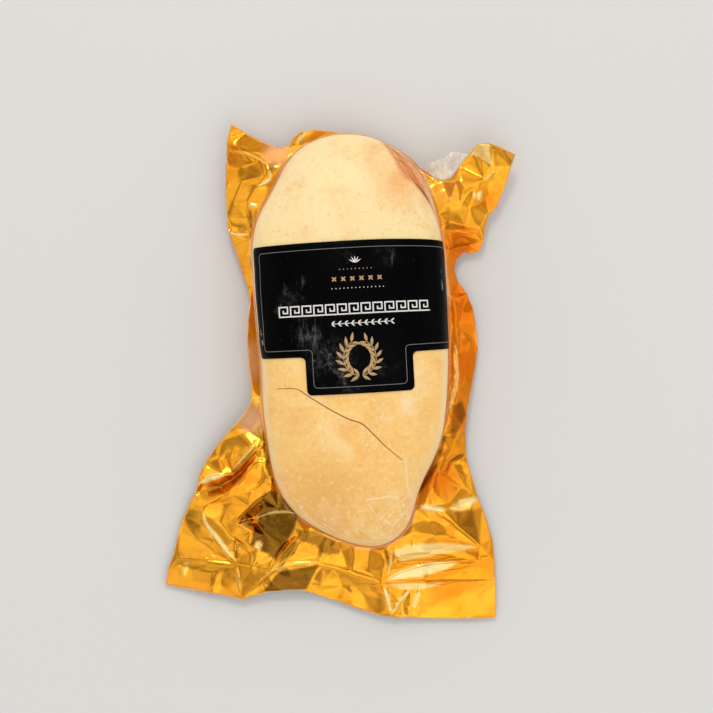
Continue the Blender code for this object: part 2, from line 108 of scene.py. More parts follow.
# Where the flesh is curdled, and where the film is milky at the foot of the lobe and over the foil:
# middle, radius, strength. The milk at the foot of the lobe also paints light over the dark line of shade
# there.
CURD_PATCHES = [((18, -80), 27, 0.9), ((12, -48), 17, 0.7), ((-14, -36), 18, 0.35), ((30, -40), 18, 0.35)]
RIM_PATCHES = [((51, 38), 24, 0.6), ((-50, 45), 22, 0.5), ((-48, 10), 24, 0.75), ((22, -105), 26, 0.5),
               ((-44, -24), 18, 0.4), ((-36, 84), 22, 0.4)]
HAZY_PATCHES = [((-51, -41), 9, 1.0), ((-38, 97), 9, 0.8), ((-52, -10), 12, 0.7), ((50, 80), 11, 0.12)]
FOIL_HAZE = 0.22
CUT_EDGE_HAZE = 0.30
RIM_HAZE = 0.16

# Creases of the clear film, painted pale on the liver under it, partly for the film's milk and partly as
# painted highlight: height, half width, strength, points
FILM_CREASES = {
    "crack_tail": (0.3, 0.4, 0.6,
                   [(26.9, -60.9), (28.3, -62.5), (29.7, -75.2), (33.3, -81.8), (31.9, -87.4),
                    (29.5, -92.5)]),
    "crack_star": (0.3, 0.4, 0.4, [(24.6, -61.6), (26.9, -60.9), (29.6, -59.2)]),
    "long_crease": (0.25, 0.32, 0.22, [(7, -50.4), (8.2, -65.6), (6.2, -75.7), (6.2, -92.5)]),
    "white_streak": (0.3, 0.42, 0.75, [(8.7, -80.8), (14.5, -80.1), (20.4, -79)]),
    "short_crease": (0.25, 0.3, 0.3, [(19.7, -75.1), (22.5, -76.3), (25.5, -78.3)]),
    "tip_crease_a": (0.25, 0.35, 0.4, [(9, -83), (13, -88), (19, -92), (24, -99)]),
    "tip_crease_b": (0.25, 0.3, 0.35, [(11, -95), (17, -89), (22, -85), (30, -79)]),
    "tip_crease_c": (0.25, 0.3, 0.35, [(6, -97), (14, -101), (22, -100)]),
    "tip_crease_d": (0.25, 0.35, 0.5, [(20, -104), (22, -95), (27, -89), (31, -84)]),
    "ring_left": (0.2, 0.25, 0.25, [(5.6, -52.3), (7.3, -50.6), (9.0, -52.3), (7.3, -54), (5.6, -52.3)]),
    "swirl": (0.25, 0.3, 0.3, [(-24, 92), (-18, 93), (-17, 88), (-23, 87), (-22, 91), (-19, 90)]),
    "upper_left_a": (0.35, 0.4, 0.3, [(-14, 102), (-22, 98), (-28, 92.5), (-32, 85)]),
    "upper_left_b": (0.3, 0.35, 0.25, [(-10, 100), (-17, 96.5), (-22, 94), (-27, 88), (-30, 80)]),
    "left_edge": (0.4, 0.45, 0.28, [(-36, 82), (-40, 73), (-44, 64), (-45.5, 54)]),
    "right_edge": (0.3, 0.4, 0.35, [(49.4, 20.9), (49.9, -4.7), (49.2, -30.3), (46.6, -48)]),
    "shoulder_a": (0.4, 0.4, 0.45, [(22, 100), (29, 92.5), (35, 85), (39.5, 78)]),
    "shoulder_b": (0.35, 0.35, 0.3, [(25, 96.5), (31, 88.5), (36, 81), (40.5, 74)]),
    "shoulder_c": (0.3, 0.35, 0.3, [(20, 99.5), (25, 92.5), (29, 85.5), (33, 79)]),
}

# Fine creases of the flange: lift, half width, points
FINE_CREASES = {
    "fan_a": (0.9, 2.2, [(-44, -50), (-46, -57), (-47.5, -66)]),
    "fan_b": (0.8, 2.0, [(-47, -55), (-52, -62), (-54, -72)]),
    "fan_c": (0.7, 2.0, [(-43, -58), (-44, -66), (-42, -74)]),
    "corner_wrinkle_a": (0.3, 0.9, [(41, 79), (47, 81.5), (53, 80)]),
    "corner_wrinkle_b": (0.3, 0.9, [(43, 74), (49, 77.5), (57, 78)]),
    "corner_wrinkle_c": (0.3, 0.9, [(44, 70), (50, 71.5), (58, 71)]),
    "strip_tick_a": (1.2, 2.0, [(52, -31), (50, -36), (52, -42)]),
    "strip_tick_b": (1.1, 2.0, [(50, -44), (46, -51), (44, -58)]),
    "tip_pleat_a": (0.8, 2.0, [(20, -104), (22, -112), (21, -119)]),
    "tip_pleat_b": (0.6, 2.0, [(2, -106), (3, -113), (1, -121)]),
    "tip_pleat_c": (0.7, 2.2, [(-12, -103), (-14, -110), (-17, -117)]),
    "left_pleat": (0.7, 2.0, [(-69, -120), (-70, -126), (-72, -131)]),
    "low_pleat": (0.8, 2.4, [(33, -130), (31, -137), (30, -143)]),
}

# Folds painted on the foil's colour, as painted shade or as painted highlight where the tone is shine: which
# of the two, strength, half width, points
FOIL_LINES = {
    "left_gap": ("shade", 0.8, 0.9, [(-45.5, -43.5), (-43.4, -56.4), (-40.8, -69.3), (-38.2, -76.5)]),
    "right_gap": ("shade", 0.9, 1.3, [(49.7, -45), (46.6, -57.4), (40.9, -69.3), (33.2, -81.3)]),
    "valley": ("shade", 0.45, 2.2, [(-81.7, -83.3), (-64.9, -74.3), (-51.2, -58.4), (-46.6, -51.7)]),
    "slot_left": ("shade", 0.8, 0.7, [(-59.8, -102.9), (-59.2, -113.7)]),
    "under_valley": ("shade", 0.5, 3.5, [(-80.6, -86.8), (-83.4, -98.4)]),
    "pocket_edge": ("shade", 0.8, 0.6, [(-38.7, -76), (-49.1, -83.7), (-59.5, -93.7)]),
    "under_tip": ("shade", 0.6, 1.8, [(-20.1, -97.2), (-11.9, -103), (-3.1, -107.1)]),
    "tip_fold": ("shade", 0.6, 2.0, [(-12.9, -105.1), (-9.3, -111.4)]),
    "ridge_dark": ("shade", 0.5, 0.7, [(-55.6, -133.1), (-37.8, -118.2), (-22.2, -99.8)]),
    "slot_right": ("shade", 0.7, 1.0, [(18.7, -107.6), (20.2, -116.5)]),
    "hem_dark": ("shade", 0.5, 1.6, [(15.6, -130.3), (16.7, -141.5)]),
    "vee_line": ("shade", 0.5, 0.5, [(42, -87.4), (55, -96.4), (67, -105.9)]),
    "strip_side_dark": ("shade", 0.4, 0.8, [(51.2, -20), (51.6, -30), (50.6, -38)]),
    "strip_crease": ("shade", 0.7, 0.8, [(51.9, -62.7), (59.9, -58.7)]),
    "step_line": ("shade", 0.6, 0.5, [(50.3, 47.1), (56, 49.3), (62.9, 50.4)]),
    "fin_crease": ("shade", 0.35, 0.8, [(-62.6, 101), (-53.8, 98.4), (-47.6, 95.3), (-42.4, 92.1)]),
    "fin_end": ("shade", 0.5, 2.2, [(-41.9, 91.6), (-37.7, 88.5)]),
    "fin_mid": ("shade", 0.22, 3.2, [(-54.9, 84), (-45.5, 84.3)]),
    "fin_streak_a": ("shade", 0.6, 0.9, [(-52.4, 69.1), (-50.9, 56.9)]),
    "fin_streak_b": ("shade", 0.4, 0.8, [(-48.6, 68.8), (-49.4, 59.5)]),
    "fin_low": ("shade", 0.55, 2.2, [(-58.6, 58.2), (-53.4, 59.2)]),
    "seal_left": ("shade", 0.45, 0.35, [(-92.2, -113), (-75.9, -113.8), (-60.2, -115), (-42.5, -118.2)]),
    "seal_middle": ("shade", 0.5, 0.35, [(-15.3, -114.5), (2.6, -119.3), (16.1, -123.7)]),
    "seal_right": ("shade", 0.5, 0.35, [(18.4, -124.3), (46.8, -124.3), (75.6, -124.3)]),
    "hem_second": ("shade", 0.22, 0.35, [(19.7, -113.8), (46.8, -113.9), (75.3, -113.7)]),
    "streak_left": ("shine", 1.0, 1.3, [(-78.4, -74.2), (-71.5, -71), (-64.8, -68.9)]),
    "streak_thin": ("shine", 0.6, 0.45, [(-61.5, -67.4), (-54.3, -59.5), (-47.8, -51.7)]),
    "ridge_left": ("shine", 1.0, 0.9, [(-76.8, -88.2), (-74.3, -95.5), (-66.9, -104.8), (-59.7, -114.2)]),
    "pocket_glint": ("shine", 0.8, 1.6, [(-49.2, -106.7), (-45.6, -104.8)]),
    "pocket_rib": ("shine", 0.5, 0.5, [(-50.4, -92.5), (-37.8, -88.5), (-26.4, -89.3)]),
    "pocket_lip": ("shine", 0.7, 0.9, [(-56.9, -94.7), (-50.9, -93.4)]),
    "ridge_line": ("shine", 0.55, 0.5, [(-44.6, -121.4), (-31.1, -115.6), (-15.5, -114.5)]),
    "strip_streak": ("shine", 0.55, 0.9,
                     [(54.7, -1), (55, -12.4), (55.2, -20.2), (54.2, -26.5), (52.1, -33.2), (51, -37.9)]),
    "strip_side": ("shine", 0.35, 0.6, [(50.7, 33.4), (52, 15.5)]),
    "fin_line": ("shine", 0.4, 0.5, [(-61.6, 98.9), (-52.9, 96.8), (-47.1, 94.1), (-42.4, 90.5)]),
    "fin_tick": ("shine", 0.95, 0.75, [(-41.3, 88.4), (-41.6, 83.3), (-48, 79.8)]),
    "fin_knot": ("shine", 0.7, 0.8, [(-52.8, 70.9), (-47.6, 69.6)]),
    "fin_foot": ("shine", 0.8, 0.8, [(-62.8, 56.4), (-58.5, 55.3), (-52.9, 55.2)]),
    "knot": ("shine", 0.9, 1.0, [(67.5, 78.1), (66.6, 72.6)]),
    "knot_white": ("shine", 0.7, 1.0, [(64.1, 77), (64.7, 74)]),
    "corner_fan": ("shine", 0.5, 0.5, [(69.3, 82.7), (75, 87.9)]),
    "patch_a": ("shine", 1.0, 1.3, [(35.2, -85.3), (41.4, -86.4), (49.8, -87.5)]),
    "patch_b": ("shine", 0.9, 2.0, [(51.9, -87.6), (59.2, -84.6), (66.6, -81.7)]),
    "vee_left": ("shine", 1.0, 0.9, [(17.9, -126.5), (21.4, -141.5)]),
    "vee_right": ("shine", 0.95, 0.8, [(22.1, -142.0), (25.5, -136.3), (30.9, -129.0)]),
    "hem_streak": ("shine", 0.9, 1.1, [(35.8, -129.6), (34.4, -134.7), (32.8, -139.4)]),
    "wedge_rim": ("shine", 0.9, 0.45, [(17.7, -124.6), (26.6, -119.4), (41.4, -115.4), (58.0, -114.4)]),
    "slot_glint": ("shine", 0.6, 0.6, [(22.3, -107.2), (19.7, -121.3)]),
    "top_fold": ("shine", 0.8, 0.9, [(-22.7, 108.2), (-27.5, 102.2)]),
    "hem_left": ("shine", 0.4, 1.0, [(-84.3, -113.9), (-87.5, -122.9)]),
    "hem_left_b": ("shine", 0.3, 0.9, [(-59.2, -116.8), (-57.2, -130.5)]),
    "left_bits": ("shine", 0.6, 1.0, [(-49.7, -29), (-47.6, -32.6)]),
}

# Whole panels between folds, painted the same way with painted shade or painted highlight: which of the two,
# strength, outline
FOIL_PANELS = {
    "pocket": ("shade", 0.85,
               [(-47.9, -88.7), (-44.4, -78.5), (-38.7, -77), (-31, -84.4), (-26.4, -91.1),
                (-28.9, -98.8), (-35.7, -108.8), (-37.8, -114.5), (-42.5, -111.5), (-52.3, -105.7),
                (-50.2, -98.9), (-48.3, -94)]),
    "pocket_side": ("shade", 0.8, [(-37.8, -116.5), (-31.5, -112), (-26, -103), (-30, -104), (-36, -111)]),
    "ridge_side": ("shade", 0.9, [(-37.3, -119.3), (-15.5, -115.6), (-22.3, -129.4), (-45.7, -130.5)]),
    "strip_maroon": ("shade", 0.7,
                     [(53.1, -33.2), (58.8, -30.5), (60.4, -38), (56.8, -46.3), (53.1, -52), (51.5, -46.3)]),
    "tip_shadow": ("shade", 0.7,
                   [(-28.6, -96.7), (-17.6, -98.3), (-4.6, -106.9), (-5.2, -111.3), (-14.5, -110.3),
                    (-18.2, -106.1), (-26, -103.5)]),
    "low_triangle": ("shade", 0.5, [(49.8, -89.6), (69.1, -86.2), (67.5, -105.9), (58.6, -99)]),
    "corner_dark": ("shade", 0.42, [(71.9, 101.5), (86.3, 96.7), (83.4, 90.1), (74.5, 89.4)]),
    "corner_bright": ("shine", 0.95, [(62.1, 96.7), (66, 102.4), (71.8, 101.4), (74.3, 89.4), (69.8, 92.5)]),
    "step_band": ("shade", 0.55, [(48.7, 62.1), (60, 60.1), (60.1, 57.3), (48.7, 57.8)]),
    "wedge": ("shine", 1.0,
              [(17.7, -124.7), (26.6, -119.7), (41.4, -115.7), (58.0, -114.8), (47.5, -119.7),
               (36.5, -122.6)]),
    "upper_wedge": ("shine", 0.75,
                    [(22.3, -108.0), (30.3, -105.3), (45.1, -104.1), (63.6, -105.8), (67.3, -107.4),
                     (58.6, -109.3), (42.6, -111.7), (25.4, -114.8)]),
    "hem_wedge": ("shine", 0.85,
                  [(18.0, -125.5), (50.0, -125.5), (43.8, -127.8), (37.1, -129.2), (28.1, -129.5)]),
    "hem_panel": ("shade", 0.22, [(-83.3, -115), (-62.9, -117.4), (-61.9, -128.5), (-82.3, -125.5)]),
}

# Where the flange is crumpled finely, where it is smooth, and where its colour is painted redder and deeper,
# a painted reflection of its folds in one another: middle, radius, strength
LIVELY_PATCHES = [((-50, -85), 34, 0.8), ((45, -82), 22, 0.4), ((64, 74), 11, 0.5), ((55, -52), 24, 0.5),
                  ((-53, 64), 14, 0.6), ((-35, -112), 18, 0.5)]
QUIET_PATCHES = [((50, 68), 17, 1.0), ((-55, 85), 13, 0.8), ((38, 85), 9, 1.2), ((48, 81), 14, 1.2),
                 ((-53, -94), 9, 0.9), ((63, 87), 9, 1.0), ((-58, 103), 10, 0.9)]
RED_REFLECTION_PATCHES = [((57, 49), 19, 1.2), ((57, 20), 26, 1.2), ((58, -12), 24, 1.1), ((46, -72), 16, 1.0),
                ((58, -38), 16, 0.6),
                ((-62, -67), 12, 0.5), ((70, 74), 10, 0.6), ((-60, 96), 8, 0.5), ((-52, -72), 14, 0.3)]

# Height of the fold along such a line, blur at a panel's edge, and the width up to which a line is thin
FOLD_LIFT = 0.6
PANEL_BLUR = 0.7
THIN_LINE = 1.0
# How far from the lobe the foil is painted pale and less metallic: painted light over the shade at the
# lobe's foot, standing also for the film drawn off it there
PAINTED_LIGHT_REACH = 1.5

# The label: a wide bar with a tab under it. Its own places run across from the tab's middle and up
# from its top
LABEL_LEFT = 56.0
LABEL_RIGHT = 58.0
LABEL_BAR = 58.0
LABEL_TAB_WIDTH = 54.5
LABEL_TAB = 19.5
LABEL_CORNER = 2.5
LABEL_TOP = (1.5, 50.8)
LABEL_TURN = math.radians(3.2)
# How far the bar's ends draw together, and how far its right end drops
LABEL_PINCH = 0.7
LABEL_DROP = 2.4
# The thin line: how far it runs inside the edge, and inside the left one, and its corners
LINE_INSET = 3.6
LINE_LEFT_INSET = 5.6
LINE_CORNER = 2.0

# The ornaments: one unit of the key pattern, the rows, the level of the twig, and the wreath's
# middle and its half width and half height
KEY_HOOK = [(0, 0), (0, 5), (4.4, 5), (4.4, 1.8), (2.2, 1.8), (2.2, 3.3)]
KEY_BASE = [(-0.35, 0), (5.7, 0)]
KEY_STROKE = 0.7
PRINT_ROWS = [
    ("ivory", "key", 13, 6.0, -3.6, -37.0),
    ("gold", "petals", 6, 4.6, 1.0, -19.3),
    ("ivory", "fan", 1, 1.0, 0.5, -9.8),
    ("gold", "dot", 9, 2.0, 0.5, -14.4),
    ("ivory", "dot", 14, 2.0, 1.2, -24.0),
]
TWIG_LEVEL = -41.8
WREATH = (0.3, -59.5, 8.2, 9.0)

# Smudges of frost and scuffs on the label: middle on the pack, radius, strength
FROST_PATCHES = [((-20, 5), 12, 0.6), ((-9, -9), 15, 1.1), ((-6, -19), 10, 1.0), ((-3.4, 41.8), 9, 0.35),
                 ((17, 45), 10, 0.35), ((-29, 21), 10, 0.4), ((19, -12), 9, 0.4), ((1, -24), 9, 0.5)]
SCUFF_PATCHES = [((-33, 25.5), 5, 1.0), ((-23.6, 28), 6, 0.35), ((-19, 4), 13, 0.4), ((-36, 16), 4, 0.6),
                 ((21, 42), 6, 0.3)]

# How far the label's underside lies off the film, and the print and its stems off the label
LABEL_LIFT = 0.13
PRINT_LIFT = 0.01
STEM_LIFT = 0.02

# Frost flecks: how many for each square metre, their radii, and the seed of the scatter
FROST_DENSITY = 11000.0
FROST_RADII = (0.08, 0.30)
FROST_SEED = 3

# Lamps: place, width, share of the key light's power, colour
LAMPS = {
    "key_light": ((-0.15, 0.95, 1.35), 0.36, 1.0, (1.0, 0.97, 0.93)),
    "fill_light": ((0.45, -0.75, 1.3), 1.5, 0.7, (1.0, 0.98, 0.96)),
}
FLOOR_SIZE = 6.0
CAMERA_PLACE = (3.4 * MM, -8.0 * MM, 1.5)
CAMERA_LENS = 145.03
CAMERA_SENSOR = 36.0


def linear(red, green, blue):
    """A colour given as display values from 0 to 255, as the linear values that Blender uses."""
    shares = (red / 255, green / 255, blue / 255)
    return tuple(v / 12.92 if v <= 0.04045 else ((v + 0.055) / 1.055) ** 2.4 for v in shares)


def color_setting(name, description, default):
    """A colour in the panel."""
    return FloatVectorProperty(name=name, description=description, default=default,
                               subtype="COLOR", size=3, min=0, max=1)


def length_setting(name, description, default, low, high):
    """A length in the panel. Its default and its limits are in millimetres."""
    return FloatProperty(name=name, description=description, unit="LENGTH",
                         default=default * MM, min=low * MM, max=high * MM)


class LiverSettings(bpy.types.PropertyGroup):
    """The flesh of the liver."""

    cream: color_setting("Cream", "Colour at the blunt end", linear(250, 226, 170))
    butter: color_setting("Butter", "Colour of the middle", linear(252, 206, 124))
    peach: color_setting("Peach", "Colour at the narrow end", linear(244, 189, 98))
    blush: color_setting("Blush", "Pink tinge in patches", linear(236, 168, 116))
    # Painted shade: the dark colour down in the crack
    crack_shade: color_setting("Crack", "Colour down in the crack", linear(138, 72, 8))
    crack_depth: length_setting("Crack depth", "Depth of the crack across the lobe", 0.5, 0, 3)
    crack_width: length_setting("Crack width", "Half the width of the crack", 0.36, 0.1, 2)
    gloss: FloatProperty(
        name="Roughness", description="Roughness of the flesh under the film",
        default=0.48, min=0, max=1)


class PouchSettings(bpy.types.PropertyGroup):
    """The gold back and the clear front of the pouch."""

    gold: color_setting("Gold", "Colour of the foil", (1.0, 0.44, 0.028))
    gold_deep: color_setting("Deep gold", "Colour of the foil in its more orange areas", (0.97, 0.34, 0.013))
    # Painted shade: the dark colour put deep in the folds and on the shaded panels
    gold_shade: color_setting("Gold shade", "Colour of the foil deep in its folds", (0.17, 0.072, 0.006))
    # Painted reflection: the redder gold that the folds throw on one another, painted in patches
    gold_red_reflection: color_setting("Red reflection gold", "Colour of the foil down the right side", (0.90, 0.20, 0.004))
    # Painted highlight: the pale colour put on the folds and panels that shine
    gold_pale: color_setting("Pale gold", "Colour of the foil on its sharpest folds", (1.0, 0.86, 0.38))
    foil_roughness: FloatProperty(
        name="Foil roughness", description="Roughness of the foil", default=0.15, min=0, max=1)
    foil_thickness: length_setting("Foil thickness", "Thickness of the foil", 0.12, 0.02, 1)
    film_thickness: length_setting("Film thickness", "Thickness of the clear film", 0.07, 0.02, 1)
    film_gap: length_setting("Film gap", "Space between the film and what it lies on", 0.22, 0.05, 1)
    film_roughness: FloatProperty(
        name="Film roughness", description="Roughness of the clear film", default=0.24, min=0, max=1)
    crumple: length_setting("Crumple", "Height of the small facets of the flange", 0.75, 0, 3)
    gathers: length_setting("Gathers", "Height of the small pleats round the lobe", 0.55, 0, 3)
    seed: IntProperty(name="Seed", description="Seed of the crumple", default=4, min=0)


class LabelSettings(bpy.types.PropertyGroup):
    """The label and its print."""

    black: color_setting("Black", "Colour of the label", (0.0009, 0.0007, 0.0011))
    silver: color_setting("Silver", "Colour of the thin line near the edge", (0.20, 0.195, 0.19))
    ivory: color_setting("Ivory", "Colour of the light print", (0.80, 0.79, 0.74))
    old_gold: color_setting("Old gold", "Colour of the gold print", (0.52, 0.33, 0.13))
    thickness: length_setting("Label thickness", "Thickness of the label", 0.15, 0.05, 0.5)
    line_width: length_setting("Line width", "Width of the thin line near the edge", 0.32, 0.1, 2)
    print_height: length_setting("Print height", "How far the print stands off the label", 0.03, 0.01, 0.2)


class StageSettings(bpy.types.PropertyGroup):
    """Floor, light and camera."""

    floor: color_setting("Floor", "Colour of the floor", (0.72, 0.715, 0.70))
    key: FloatProperty(name="Key light", description="Power of the key light", default=5.0, min=0)
    sky: FloatProperty(name="Sky", description="Strength of the soft light all round", default=1.0, min=0)


class Socket:
    """A value on its way through a node tree. Arithmetic on it adds Math nodes."""

    def __init__(self, recipe, socket):
        self.recipe = recipe
        self.socket = socket

    def math(self, operation, first, second=0.0, clamp=False):
        """The result of one Math node."""
        settings = {"operation": operation, "use_clamp": clamp}
        return self.recipe.add("ShaderNodeMath", settings, {0: first, 1: second})

    def __add__(self, other):
        return self.math("ADD", self, other)

    def __radd__(self, other):
        return self.math("ADD", other, self)

    def __sub__(self, other):
        return self.math("SUBTRACT", self, other)

    def __rsub__(self, other):
        return self.math("SUBTRACT", other, self)

    def __mul__(self, other):
        return self.math("MULTIPLY", self, other)

    def __rmul__(self, other):
        return self.math("MULTIPLY", other, self)

    def __truediv__(self, other):
        return self.math("DIVIDE", self, other)

    def __pow__(self, other):
        return self.math("POWER", self, other)

    def clamped(self):
        """The value kept between 0 and 1."""
        return self.math("ADD", self, 0.0, clamp=True)

    def root(self):
        return self.math("SQRT", self)

    def size(self):
        return self.math("ABSOLUTE", self)

    def ramp(self, low, high):
        """0 below low and 1 above high, with a smooth step between them."""
        settings = {"interpolation_type": "SMOOTHSTEP"}
        return self.recipe.add("ShaderNodeMapRange", settings, {"Value": self, 1: low, 2: high})


class Recipe:
    """Builds one node tree, for a material, the world or a Geometry Nodes group."""

    def __init__(self, tree):
        self.tree = tree

    def add(self, kind, settings=None, values=None, output=0):
        """A node of this kind: its settings first, then the values or links of its sockets."""
        node = self.tree.nodes.new(kind)
        for name, setting in (settings or {}).items():
            setattr(node, name, setting)
        for key, value in (values or {}).items():
            if isinstance(value, Socket):
                self.tree.links.new(value.socket, node.inputs[key])
            else:
                node.inputs[key].default_value = value
        return Socket(self, node.outputs[output]) if node.outputs else node

    def blend(self, share, first, second):
        """Mixes two colours."""
        first = first if isinstance(first, Socket) else (*first[:3], 1)
        second = second if isinstance(second, Socket) else (*second[:3], 1)
        return self.add("ShaderNodeMix", {"data_type": "RGBA"}, {0: share, 6: first, 7: second}, output=2)

    def place(self):
        """Where the point lies on the pack, in metres."""
        return self.add("ShaderNodeTexCoord", output="Object")

    def split(self, vector):
        """The x, y and z of a vector."""
        first = self.add("ShaderNodeSeparateXYZ", values={0: vector})
        return [Socket(self, socket) for socket in first.socket.node.outputs]

    def mark(self, name):
        """A number kept on the mesh under this name."""
        return self.add("ShaderNodeAttribute", {"attribute_name": name}, output="Fac")

    def noise(self, scale, detail=3.0, rough=0.5, distort=0.0, stretch=None, where=None, turn=0.0):
        """Soft noise on the object's own coordinates, with features of about 1/scale metres."""
        where = where or self.place()
        if stretch:
            where = self.add("ShaderNodeMapping", values={
                "Vector": where, "Scale": stretch, "Rotation": (0, 0, turn)})
        values = {"Vector": where, "Scale": scale, "Detail": detail, "Roughness": rough,
                  "Distortion": distort}
        return self.add("ShaderNodeTexNoise", values=values)

    def strands(self, length, breadth, detail=4.0):
        """Noise in strands that run round the lobe, from the marks around and inward, in metres."""
        where = self.add("ShaderNodeCombineXYZ", values={
            0: self.mark("around") * (1 / length), 1: self.mark("inward") * (1 / breadth)})
        return self.noise(1.0, detail=detail, rough=0.6, distort=0.7, where=where)

    def curls(self, scale, width, distort=1.5):
        """Thin curling lines, where a noise passes through its middle value."""
        level = self.noise(scale, detail=3, rough=0.55, distort=distort) - 0.5
        return 1.0 - level.size().ramp(0.0, width)

    def bump(self, height, distance, strength=1.0, normal=None):
        """A normal bent by a height, over another normal where one is given."""
        values = {"Height": height, "Distance": distance, "Strength": strength}
        if normal:
            values["Normal"] = normal
        return self.add("ShaderNodeBump", values=values)

    def surface(self, color, roughness, more=None):
        """A Principled surface of this colour and roughness."""
        values = {"Base Color": color, "Roughness": roughness, **(more or {})}
        return self.add("ShaderNodeBsdfPrincipled", values=values)

    def near(self, middle, radius):
        """1 at a place on the pack seen from above, in millimetres, falling to 0 at the radius."""
        x, y, _ = self.split(self.place())
        square = (x - middle[0] * MM) ** 2.0 + (y - middle[1] * MM) ** 2.0
        return 1.0 - square.root().ramp(0.0, radius * MM)

    def patches(self, places):
        """The sum of several soft patches, each a middle, a radius and a strength."""
        result = self.near(*places[0][:2]) * places[0][2]
        for middle, radius, strength in places[1:]:
            result = result + self.near(middle, radius) * strength
        return result

    def beside(self, first, last, width):
        """1 on the line from first to last, seen from above, falling to 0 at the width."""
        x, y, _ = self.split(self.place())
        run = (last[0] - first[0], last[1] - first[1])
        square = run[0] ** 2 + run[1] ** 2
        x, y = x - first[0] * MM, y - first[1] * MM
        along = (x * (run[0] / square) + y * (run[1] / square)) * (1 / MM)
        along = along.clamped()
        across, up = x - along * (run[0] * MM), y - along * (run[1] * MM)
        return 1.0 - (across ** 2.0 + up ** 2.0).root().ramp(0.0, width * MM)


def new_material(name):
    """An empty material, its recipe and its output node."""
    material = bpy.data.materials.new(name)
    material.use_nodes = True
    material.node_tree.nodes.clear()
    recipe = Recipe(material.node_tree)
    return material, recipe


def show(recipe, shader):
    """Ends a material in this shader."""
    recipe.add("ShaderNodeOutputMaterial", values={"Surface": shader})


def flesh_material(settings):
    """Fat goose liver: cream at the blunt end, peach at the narrow one, with patches and fine curds."""
    material, recipe = new_material("raw_liver_flesh")
    _, y, _ = recipe.split(recipe.place())
    wander = recipe.noise(14, detail=2) - 0.5
    down = 1.0 - (y + wander * 0.05).ramp(-0.02, 0.07)
    color = recipe.blend(down, settings.cream, settings.butter)
    low = 1.0 - (y + wander * 0.06).ramp(-0.105, -0.035)
    color = recipe.blend(low, color, settings.peach)
    for patches, tint in (
            (PEACH_PATCHES, linear(243, 184, 118)),
            (CREAM_PATCHES, linear(252, 226, 178)),
            (BLUSH_PATCHES, settings.blush),
            (TAN_PATCHES, linear(226, 170, 92)),
            (AMBER_PATCHES, linear(248, 172, 84))):
        color = recipe.blend(recipe.patches(patches).clamped(), color, tint)
    cloudy = recipe.noise(45, detail=6, rough=0.62, distort=0.5)
    color = recipe.blend(cloudy.ramp(0.50, 0.70) * 0.55, color, linear(241, 184, 108))
    color = recipe.blend((1.0 - cloudy.ramp(0.32, 0.50)) * 0.4, color, linear(253, 226, 168))
    brushed = recipe.noise(60, detail=5, rough=0.6, stretch=(1.0, 0.22, 1.0))
    color = recipe.blend(brushed.ramp(0.52, 0.75) * 0.22, color, linear(250, 212, 146))
    curdled = recipe.mark("curds")
    curds = recipe.curls(170, 0.028, 1.0) * recipe.noise(60, detail=2).ramp(0.42, 0.60) * curdled
    color = recipe.blend(curds * 0.75, color, linear(255, 228, 168))
    grain = recipe.noise(420, detail=4, rough=0.7)
    color = recipe.blend(grain.ramp(0.54, 0.70) * (0.24 + curdled * 0.3), color, linear(214, 150, 82))
    color = recipe.blend((1.0 - grain.ramp(0.32, 0.44)) * 0.45, color, linear(255, 236, 192))
    color = recipe.blend(recipe.mark("band"), color, linear(214, 122, 46))
    band_strands = recipe.strands(0.010, 0.0007)
    veined = recipe.mark("band") * band_strands.ramp(0.54, 0.66)
    color = recipe.blend(veined * 0.6, color, linear(250, 206, 160))
    # The dark streaks of the band are painted shade between the film's wrinkles
    streak_shade = recipe.mark("band") * (1.0 - band_strands.ramp(0.34, 0.46))
    color = recipe.blend(streak_shade * 0.6, color, linear(176, 86, 26))
    color = recipe.blend(recipe.mark("pale") * 0.55, color, linear(255, 222, 160))
    # Painted light: the flesh is lighter near its outline, over the shade on the lobe's steep side
    rim = (1.0 - recipe.mark("inward").ramp(0.3 * MM, 4.5 * MM)) * (1.0 - recipe.mark("band"))
    rim_light_tint = recipe.blend(low, linear(255, 230, 184), linear(255, 214, 144))
    color = recipe.blend(rim * 0.8, color, rim_light_tint)
    strands = recipe.strands(0.011, 0.0008)
    # Pale strands: the film's milky wrinkles with painted highlight on them; the darker strands between are
    # painted shade
    color = recipe.blend(recipe.mark("wrinkled") * strands.ramp(0.48, 0.66), color, linear(255, 226, 192))
    shadowed = recipe.mark("wrinkled") * (1.0 - strands.ramp(0.30, 0.44))
    color = recipe.blend(shadowed * 0.35, color, linear(236, 178, 128))
    broken = 0.35 + recipe.noise(420, detail=4, rough=0.7).ramp(0.35, 0.6) * 0.65
    # Pale creases of the film painted on the flesh: partly the film's milk, partly painted highlight
    color = recipe.blend(recipe.mark("veil_and_light") * broken, color, linear(255, 236, 200))
    # Painted shade down in the fold at the right shoulder
    color = recipe.blend(recipe.mark("fold"), color, linear(138, 62, 0))
    # Painted shade down in the crack
    color = recipe.blend(recipe.mark("crack"), color, settings.crack_shade)
    mottle = recipe.noise(150, detail=5, rough=0.6)
    normal = recipe.bump(mottle, 0.22 * MM, 0.5)
    normal = recipe.bump(grain + curds * 0.6, 0.10 * MM, 0.5, normal)
    normal = recipe.bump(strands * recipe.mark("wrinkled"), 0.12 * MM, 0.6, normal)
    roughness = settings.gloss - 0.08 + recipe.noise(90, detail=3) * 0.16
    show(recipe, recipe.surface(color, roughness, {
        "Normal": normal, "IOR": 1.45, "Subsurface Weight": 0.16, "Subsurface Scale": 0.004,
        "Subsurface Radius": (1.0, 0.55, 0.3)}))
    return material


